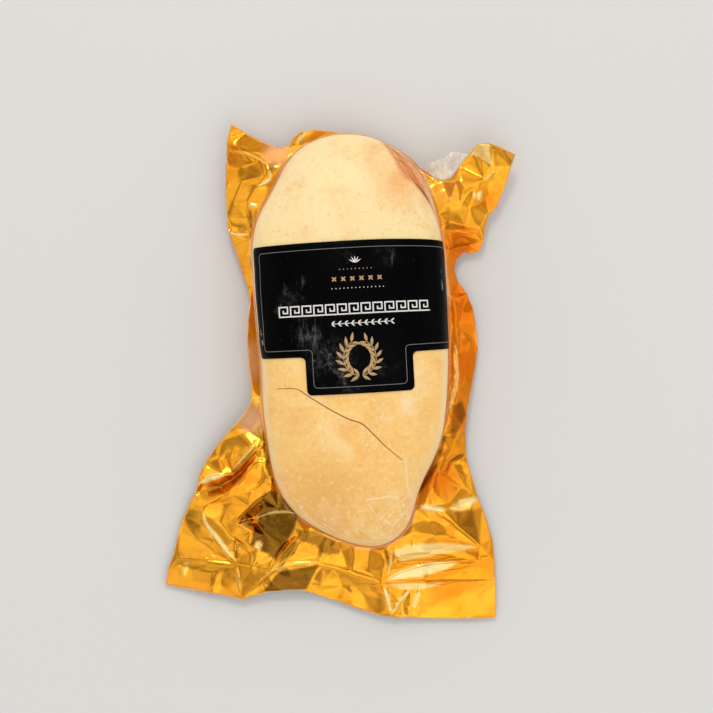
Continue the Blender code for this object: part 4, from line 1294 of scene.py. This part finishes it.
def label_outline(inset, left_inset, corner, steps=5):
    """The T, corner by corner with round corners, across from its middle and up from its top."""
    left, right, tab = LABEL_LEFT - left_inset, LABEL_RIGHT - inset, LABEL_TAB_WIDTH / 2 - inset
    top, bar = -inset, -LABEL_BAR + inset
    foot = -LABEL_BAR - LABEL_TAB + inset
    corners = [(right, top), (-left, top), (-left, bar), (-tab, bar),
               (-tab, foot), (tab, foot), (tab, bar), (right, bar)]
    outline = []
    for i, here in enumerate(np.array(corners)):
        back = np.array(corners[i - 1]) - here
        ahead = np.array(corners[(i + 1) % len(corners)]) - here
        back, ahead = back / np.linalg.norm(back), ahead / np.linalg.norm(ahead)
        for angle in np.linspace(0, math.pi / 2, steps):
            outline.append(here + corner * (back * (1 - math.sin(angle)) + ahead * (1 - math.cos(angle))))
    return np.array(outline)


def with_steps(outline, spacing):
    """The closed outline with extra points on its long sides."""
    result = []
    for a, b in zip(outline, np.roll(outline, -1, axis=0)):
        count = max(1, round(np.linalg.norm(b - a) / spacing))
        result += [a + (b - a) * k / count for k in range(count)]
    return np.array(result)


def inside(points, polygon):
    """True for each point that lies inside the closed polygon."""
    hit = np.zeros(len(points), bool)
    for (x0, y0), (x1, y1) in zip(polygon, np.roll(polygon, -1, axis=0)):
        if y0 == y1:
            continue
        crosses = (y0 > points[:, 1]) != (y1 > points[:, 1])
        hit ^= crosses & (points[:, 0] < x0 + (points[:, 1] - y0) / (y1 - y0) * (x1 - x0))
    return hit


def filled(outline, spacing):
    """A flat sheet of even triangles inside the outline, as flat places and faces."""
    outline = with_steps(outline, spacing)
    low, high = outline.min(axis=0), outline.max(axis=0)
    x, y = np.meshgrid(np.arange(low[0], high[0], spacing), np.arange(low[1], high[1], spacing))
    grid = np.stack([x.ravel(), y.ravel()], axis=1)
    clear = distance_to_line(grid, outline, closed=True)[0] > spacing * 0.45
    grid = grid[clear & inside(grid, outline)]
    points = np.vstack([outline, grid])
    rim = [(i, (i + 1) % len(outline)) for i in range(len(outline))]
    verts, _, faces, _, _, _ = delaunay_2d_cdt([Vector(p) for p in points], rim, [], 0, 1e-6)
    verts = np.array([tuple(v) for v in verts])
    middles = np.array([verts[list(face)].mean(axis=0) for face in faces])
    kept = [tuple(face) for face, keep in zip(faces, inside(middles, outline)) if keep]
    return verts, kept


def group_node(name, inputs):
    """A Geometry Nodes group with named inputs. Returns its recipe and its input sockets."""
    tree = bpy.data.node_groups.new(name, "GeometryNodeTree")
    tree.interface.new_socket("Geometry", in_out="OUTPUT", socket_type="NodeSocketGeometry")
    tree.interface.new_socket("Geometry", in_out="INPUT", socket_type="NodeSocketGeometry")
    for label, kind in inputs.items():
        tree.interface.new_socket(label, in_out="INPUT", socket_type=kind)
    recipe = Recipe(tree)
    entry = tree.nodes.new("NodeGroupInput")
    sockets = {socket.name: Socket(recipe, socket) for socket in entry.outputs if socket.name}
    return recipe, sockets


def close_group(recipe, shape, material):
    """Ends a group in Realize Instances and Set Material."""
    shape = recipe.add("GeometryNodeRealizeInstances", values={0: shape})
    shape = recipe.add("GeometryNodeSetMaterial", values={0: shape, "Material": material})
    recipe.add("NodeGroupOutput", values={0: shape})


def grown(name, base, recipe, values):
    """Runs a Geometry Nodes group on a base mesh and returns the plain mesh that it makes."""
    obj = new_object(name, base)
    modifier = obj.modifiers.new("grow", "NODES")
    modifier.node_group = recipe.tree
    sockets = {item.name: item.identifier for item in recipe.tree.interface.items_tree
               if item.in_out == "INPUT"}
    for label, value in values.items():
        modifier[sockets[label]] = value
    return plain_mesh(obj, name)


def motif_shape(recipe, given):
    """The shape of the motif that is given to a group."""
    return recipe.add("GeometryNodeObjectInfo", values={"Object": given["Motif"]}, output="Geometry")


def line_group(material):
    """A thin round line along the base's edges."""
    recipe, given = group_node("label_line_sweep", {"Width": "NodeSocketFloat"})
    path = recipe.add("GeometryNodeMeshToCurve", values={0: given["Geometry"]})
    profile = recipe.add("GeometryNodeCurvePrimitiveCircle",
                         values={"Resolution": 6, "Radius": given["Width"] * 0.5})
    swept = recipe.add("GeometryNodeCurveToMesh", values={0: path, 1: profile, "Fill Caps": True})
    close_group(recipe, swept, material)
    return recipe


def row_group(material):
    """Copies of a flat motif in a straight row along X, centred."""
    inputs = {"Motif": "NodeSocketObject", "Count": "NodeSocketInt", "Pitch": "NodeSocketFloat"}
    recipe, given = group_node("ornament_row", inputs)
    offset = recipe.add("ShaderNodeCombineXYZ", values={0: given["Pitch"]})
    begin = recipe.add("ShaderNodeCombineXYZ", values={0: (given["Count"] - 1.0) * given["Pitch"] * -0.5})
    row = recipe.add("GeometryNodeMeshLine", {"mode": "OFFSET"},
                     {"Count": given["Count"], "Start Location": begin, "Offset": offset})
    motif = motif_shape(recipe, given)
    placed = recipe.add("GeometryNodeInstanceOnPoints", values={"Points": row, "Instance": motif})
    close_group(recipe, placed, material)
    return recipe


def garland_group(material):
    """Copies of a flat motif along the base's edges, each turned to the way that the path runs."""
    inputs = {"Motif": "NodeSocketObject", "Count": "NodeSocketInt"}
    recipe, given = group_node("ornament_garland", inputs)
    path = recipe.add("GeometryNodeMeshToCurve", values={0: given["Geometry"]})
    points = recipe.add("GeometryNodeCurveToPoints", {"mode": "COUNT"},
                        {"Curve": path, "Count": given["Count"]})
    ahead = Socket(recipe, points.socket.node.outputs["Tangent"])
    turn = recipe.add("FunctionNodeAlignRotationToVector",
                      {"axis": "X", "pivot_axis": "Z"}, {"Vector": ahead})
    motif = motif_shape(recipe, given)
    placed = recipe.add("GeometryNodeInstanceOnPoints",
                        values={"Points": points, "Instance": motif, "Rotation": turn})
    close_group(recipe, placed, material)
    return recipe


def speck_group(material):
    """Small flat blobs scattered over the base, with random sizes."""
    inputs = {"Density": "NodeSocketFloat", "Smallest": "NodeSocketFloat", "Largest": "NodeSocketFloat",
              "Seed": "NodeSocketInt"}
    recipe, given = group_node("fleck_scatter", inputs)
    share = recipe.add("GeometryNodeInputNamedAttribute", {"data_type": "FLOAT"}, {"Name": "frost"})
    scattered = recipe.add("GeometryNodeDistributePointsOnFaces", {"distribute_method": "RANDOM"},
                           {"Mesh": given["Geometry"], "Density": share * given["Density"],
                            "Seed": given["Seed"]})
    turn = Socket(recipe, scattered.socket.node.outputs["Rotation"])
    blob = recipe.add("GeometryNodeMeshIcoSphere", values={"Radius": 1.0, "Subdivisions": 1})
    size = recipe.add("FunctionNodeRandomValue", {"data_type": "FLOAT"},
                      {2: given["Smallest"], 3: given["Largest"], "Seed": given["Seed"]}, output=1)
    flat = recipe.add("ShaderNodeCombineXYZ", values={0: size, 1: size * 0.8, 2: size * 0.3})
    placed = recipe.add("GeometryNodeInstanceOnPoints",
                        values={"Points": scattered, "Instance": blob, "Rotation": turn, "Scale": flat})
    close_group(recipe, placed, material)
    return recipe


def on_label(data, surface, lift, shift=(0.0, 0.0)):
    """Lays a flat mesh, made in metres on the XY plane, on the label."""
    points = np.zeros(len(data.vertices) * 3)
    data.vertices.foreach_get("co", points)
    points = points.reshape(-1, 3) / MM
    placed = surface.place(points[:, 0] + shift[0], points[:, 1] + shift[1], lift)
    data.vertices.foreach_set("co", (placed * MM).astype(np.float32).ravel())
    data.update()
    return data


def joined(name, meshes):
    """Several meshes as one."""
    result = bmesh.new()
    for mesh in meshes:
        result.from_mesh(mesh)
        bpy.data.meshes.remove(mesh)
    return mesh_data(name, result)


def ribbon(path, width, spacing=1.2):
    """A flat strip along an open path, with mitred corners and one width or one for each point."""
    path = np.array(path, dtype=float)
    run = np.diff(path, axis=0)
    length = np.linalg.norm(run, axis=1)
    run = run / length[:, None]
    across = np.stack([-run[:, 1], run[:, 0]], axis=1)
    before, after = np.vstack([across[:1], across]), np.vstack([across, across[-1:]])
    side = before + after
    side /= np.linalg.norm(side, axis=1, keepdims=True)
    mitre = 1 / np.maximum((side * after).sum(axis=1), 0.3)
    offset = side * (mitre * np.broadcast_to(width, len(path)) / 2)[:, None]
    rows = []
    for i, far in enumerate(length):
        count = max(1, math.ceil(far / spacing))
        for k in range(count):
            here = path[i] + (path[i + 1] - path[i]) * k / count
            reach = offset[i] + (offset[i + 1] - offset[i]) * k / count
            rows += [here + reach, here - reach]
    rows += [path[-1] + offset[-1], path[-1] - offset[-1]]
    faces = [(i, i + 1, i + 3, i + 2) for i in range(0, len(rows) - 2, 2)]
    return np.array(rows), faces


def leaf(start, angle, length, width):
    """A pointed leaf that grows from start at this angle in degrees."""
    reach = np.linspace(0, 1, 8)
    heading = np.array([math.cos(math.radians(angle)), math.sin(math.radians(angle))])
    spine = np.array(start) + np.outer(reach * length, heading)
    return ribbon(spine, width * np.maximum(np.sin(math.pi * reach ** 0.85), 0.04))


def disc(middle, diameter):
    """A small round dot."""
    reach = np.linspace(-1, 1, 7)
    spine = np.array(middle) + np.outer(reach * diameter / 2, (1.0, 0.0))
    return ribbon(spine, diameter * np.sqrt(np.maximum(1 - reach ** 2, 0.02)))


def motif(name, *shapes):
    """An object of flat shapes in metres on the XY plane, for the rows and garlands."""
    verts, faces = [], []
    for points, shape_faces in shapes:
        faces += [tuple(index + len(verts) for index in face) for face in shape_faces]
        verts += [(x * MM, y * MM, 0) for x, y in points]
    data = bpy.data.meshes.new(name)
    data.from_pydata(verts, [], faces)
    return new_object(name, data)


class PACK_OT_liver(bpy.types.Operator):
    """Makes the flesh of the liver in place of its plain solid"""

    bl_idname = "liver_pack.liver"
    bl_label = "Liver"

    def execute(self, context):
        settings = context.scene.liver_pack_liver
        flesh = liver_surface(settings)
        finished("liver_flesh", flesh, flesh_material(settings), "raw_liver", "liver")
        return {"FINISHED"}


class PACK_OT_pouch(bpy.types.Operator):
    """Makes the gold foil and the clear film in place of their plain solids"""

    bl_idname = "liver_pack.pouch"
    bl_label = "Pouch"

    def execute(self, context):
        settings = context.scene.liver_pack_pouch
        foil = foil_sheet(settings)
        flesh = flesh_copy()
        film = film_sheet(settings, foil, flesh)
        flesh.free()
        back = finished("foil_back", foil, foil_material(settings), "gold_foil", "gold_foil")
        thicken(back, settings.foil_thickness, -1.0)
        front = finished("film_front", film, film_material(settings), "clear_film", "clear_film")
        thicken(front, settings.film_thickness, 1.0)
        return {"FINISHED"}


class PACK_OT_frost(bpy.types.Operator):
    """Scatters small flecks of frost between the flesh and the film"""

    bl_idname = "liver_pack.frost"
    bl_label = "Frost flecks"

    def execute(self, context):
        base = bpy.data.objects["liver_flesh"].data.copy()
        points = np.zeros(len(base.vertices) * 3)
        base.vertices.foreach_get("co", points)
        x, y, z = points.reshape(-1, 3).T / MM
        share = lobe_share(x, y)
        frost = np.clip(soft_noise(x, y, 16, 40) * 1.4, 0, 1) * (z > LOBE_MIDDLE + 6)
        frost += 1.6 * np.exp(-((x - 12) ** 2 + (y + 88) ** 2) / 300) * (z > LOBE_MIDDLE)
        frost *= np.clip((10 - y) / 40, 0.05, 1) * (share < 0.97)
        layer = base.attributes.new("frost", "FLOAT", "POINT")
        layer.data.foreach_set("value", frost.astype(np.float32))
        material = frost_material()
        values = {"Density": FROST_DENSITY, "Smallest": FROST_RADII[0] * MM,
                  "Largest": FROST_RADII[1] * MM, "Seed": FROST_SEED}
        data = grown("frost_flecks", base, speck_group(material), values)
        finished_data("frost_flecks", data, material, "raw_liver")
        return {"FINISHED"}


class PACK_OT_label(bpy.types.Operator):
    """Makes the black label with its thin line and plain ornaments"""

    bl_idname = "liver_pack.label"
    bl_label = "Label"

    def execute(self, context):
        settings = context.scene.liver_pack_label
        pouch = context.scene.liver_pack_pouch
        flesh = flesh_copy()
        film_top = (pouch.film_gap + pouch.film_thickness) / MM
        surface = LabelSurface(flesh, film_top + LABEL_LIFT)
        flesh.free()
        sheet, faces = filled(label_outline(0, 0, LABEL_CORNER), 2.0)
        data = bpy.data.meshes.new("label_sheet")
        placed = surface.place(sheet[:, 0], sheet[:, 1])
        data.from_pydata((placed * MM).tolist(), [], faces)
        label = finished_data("label_sheet", data, label_material(settings), "label_black", "label")
        thicken(label, settings.thickness, 1.0)
        top = settings.thickness / MM
        self.line(settings, surface, top)
        self.print(settings, surface, top)
        return {"FINISHED"}

    def line(self, settings, surface, top):
        path = with_steps(label_outline(LINE_INSET, LINE_LEFT_INSET, LINE_CORNER), 1.5)
        placed = surface.place(path[:, 0], path[:, 1], top)
        edges = [(i, (i + 1) % len(path)) for i in range(len(path))]
        base = bpy.data.meshes.new("label_line_path")
        base.from_pydata((placed * MM).tolist(), edges, [])
        silver = print_material("silver_line", settings.silver, 0.5)
        data = grown("label_line", base, line_group(silver), {"Width": settings.line_width})
        finished_data("label_line", data, silver, "label_black")

    def print(self, settings, surface, top):
        """Rows of common ornaments, and a small wreath in the tab."""
        ivory = print_material("ivory_print", settings.ivory, 0.25)
        gold = print_material("gold_print", settings.old_gold, 0.75)
        motifs = {
            "key": motif("key", ribbon(KEY_HOOK, KEY_STROKE), ribbon(KEY_BASE, KEY_STROKE)),
            "dot": motif("dot", disc((0, 0), 0.55)),
            "petals": motif("petals", *(leaf((0, 0), angle, 1.6, 0.9) for angle in (45, 135, 225, 315))),
            "fan": motif("fan", *(leaf((0, -1.6), angle, 3.6, 0.62) for angle in (30, 60, 90, 120, 150))),
            "pair": motif("pair", leaf((0, 0.1), 38, 2.3, 0.8), leaf((0, -0.1), -38, 2.3, 0.8)),
            "spray": motif("spray", leaf((0, 0.2), 42, 5.2, 1.7), leaf((0, -0.2), -42, 4.6, 1.6)),
        }
        pieces = {"ivory": [], "gold": []}
        for material, name, count, pitch, across, level in PRINT_ROWS:
            group = row_group(ivory if material == "ivory" else gold)
            values = {"Motif": motifs[name], "Count": count, "Pitch": pitch * MM}
            row = grown("row", bpy.data.meshes.new("row_base"), group, values)
            pieces[material].append(on_label(row, surface, top + PRINT_LIFT, (across, level)))
        for material, name, count, width, path in self.garlands():
            group = garland_group(ivory if material == "ivory" else gold)
            base = bpy.data.meshes.new("garland_base")
            edges = [(i, i + 1) for i in range(len(path) - 1)]
            base.from_pydata([(x * MM, y * MM, 0) for x, y in path], edges, [])
            leaves = grown("garland", base, group, {"Motif": motifs[name], "Count": count})
            pieces[material].append(on_label(leaves, surface, top + PRINT_LIFT))
            stem = motif("stem", ribbon(path, width))
            pieces[material].append(on_label(stem.data.copy(), surface, top + STEM_LIFT))
            bpy.data.objects.remove(stem, do_unlink=True)
        for obj in motifs.values():
            bpy.data.objects.remove(obj, do_unlink=True)
        for name, material in (("ivory", ivory), ("gold", gold)):
            data = joined(f"label_ornament_{name}", pieces[name])
            ornament = finished_data(f"label_ornament_{name}", data, material, "label_black")
            thicken(ornament, settings.print_height, 1.0)

    def garlands(self):
        """The straight laurel twig and the two halves of the wreath, as paths on the flat label."""
        twig = np.stack([np.linspace(-15, 15, 12) + 2.0, np.full(12, TWIG_LEVEL)], axis=1)
        yield "ivory", "pair", 10, 0.35, twig
        for side in (-1, 1):
            angles = np.radians(np.linspace(-84, 62, 16))
            arc = np.stack([WREATH[0] + side * WREATH[2] * np.cos(angles),
                            WREATH[1] + WREATH[3] * np.sin(angles)], axis=1)
            yield "gold", "spray", 8, 0.5, arc


class PACK_OT_stage(bpy.types.Operator):
    """Makes the floor, the soft studio light and the camera"""

    bl_idname = "liver_pack.stage"
    bl_label = "Studio"

    def execute(self, context):
        settings = context.scene.liver_pack_stage
        scene = context.scene
        self.floor(settings)
        self.sky(settings)
        for name, (place, size, share, color) in LAMPS.items():
            self.lamp(name, place, size, settings.key * share, color)
        data = bpy.data.cameras.new("camera")
        data.lens = CAMERA_LENS
        data.sensor_width = CAMERA_SENSOR
        data.clip_start = 0.05
        camera = new_object("camera", data)
        camera.location = CAMERA_PLACE
        scene.camera = camera
        scene.view_settings.view_transform = "Standard"
        return {"FINISHED"}

    def floor(self, settings):
        mesh = bmesh.new()
        bmesh.ops.create_grid(mesh, x_segments=1, y_segments=1, size=FLOOR_SIZE / 2)
        floor = new_object("floor", mesh_data("floor", mesh))
        floor.data.materials.append(floor_material(settings.floor))
        floor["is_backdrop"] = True

    def sky(self, settings):
        """A wide soft box overhead, bright walls, a darker ring between them and soft uneven patches."""
        world = bpy.data.worlds.new("studio")
        world.use_nodes = True
        world.node_tree.nodes.clear()
        recipe = Recipe(world.node_tree)
        direction = recipe.add("ShaderNodeTexCoord", output="Generated")
        _, y, z = recipe.split(direction)
        uneven = recipe.noise(4.0, detail=1, where=direction).ramp(0.38, 0.62) - 0.5
        box = z.ramp(0.84, 0.98) * 0.45
        walls = z.ramp(0.0, 0.2) * (1.0 - z.ramp(0.55, 0.75)) * 0.40
        bright = box + walls + y.ramp(0.1, 0.8) * 0.25 + uneven * 0.28 + 0.50
        glow = recipe.add("ShaderNodeBackground", values={"Color": (1.0, 0.985, 0.965, 1),
                                                          "Strength": bright * settings.sky})
        recipe.add("ShaderNodeOutputWorld", values={"Surface": glow})
        bpy.context.scene.world = world

    def lamp(self, name, place, size, power, color):
        data = bpy.data.lights.new(name, "AREA")
        data.shape = "DISK"
        data.size = size
        data.energy = power
        data.color = color
        lamp = new_object(name, data)
        lamp.location = place
        lamp.rotation_mode = "QUATERNION"
        lamp.rotation_quaternion = (-Vector(place)).to_track_quat("-Z", "Y")


class PACK_PT_panel(bpy.types.Panel):
    """Lists the pieces and their settings"""

    bl_idname = "PACK_PT_panel"
    bl_label = "Goose Liver Pack"
    bl_space_type = "VIEW_3D"
    bl_region_type = "UI"
    bl_category = "Liver Pack"

    def draw(self, context):
        for operator, group in STEPS:
            box = self.layout.box()
            box.operator(operator.bl_idname)
            if group:
                settings = getattr(context.scene, group)
                for name in settings.__annotations__:
                    box.prop(settings, name)


GROUPS = {
    "liver_pack_liver": LiverSettings,
    "liver_pack_pouch": PouchSettings,
    "liver_pack_label": LabelSettings,
    "liver_pack_stage": StageSettings,
}
STEPS = [
    (PACK_OT_liver, "liver_pack_liver"),
    (PACK_OT_pouch, "liver_pack_pouch"),
    (PACK_OT_frost, None),
    (PACK_OT_label, "liver_pack_label"),
    (PACK_OT_stage, "liver_pack_stage"),
]


def register():
    for name, group in GROUPS.items():
        bpy.utils.register_class(group)
        setattr(bpy.types.Scene, name, PointerProperty(type=group))
    for operator, _ in STEPS:
        bpy.utils.register_class(operator)
    bpy.utils.register_class(PACK_PT_panel)


def unregister():
    bpy.utils.unregister_class(PACK_PT_panel)
    for operator, _ in reversed(STEPS):
        bpy.utils.unregister_class(operator)
    for name, group in reversed(GROUPS.items()):
        delattr(bpy.types.Scene, name)
        bpy.utils.unregister_class(group)


def corners():
    """The lowest and highest corner of what is shown, as plain lists."""
    return [list(corner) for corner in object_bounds()]


def main():
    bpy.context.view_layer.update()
    register()
    bpy.ops.liver_pack.liver()
    bpy.ops.liver_pack.pouch()
    bpy.ops.liver_pack.frost()
    bpy.ops.liver_pack.label()
    bpy.ops.liver_pack.stage()


if __name__ == "__main__":
    main()
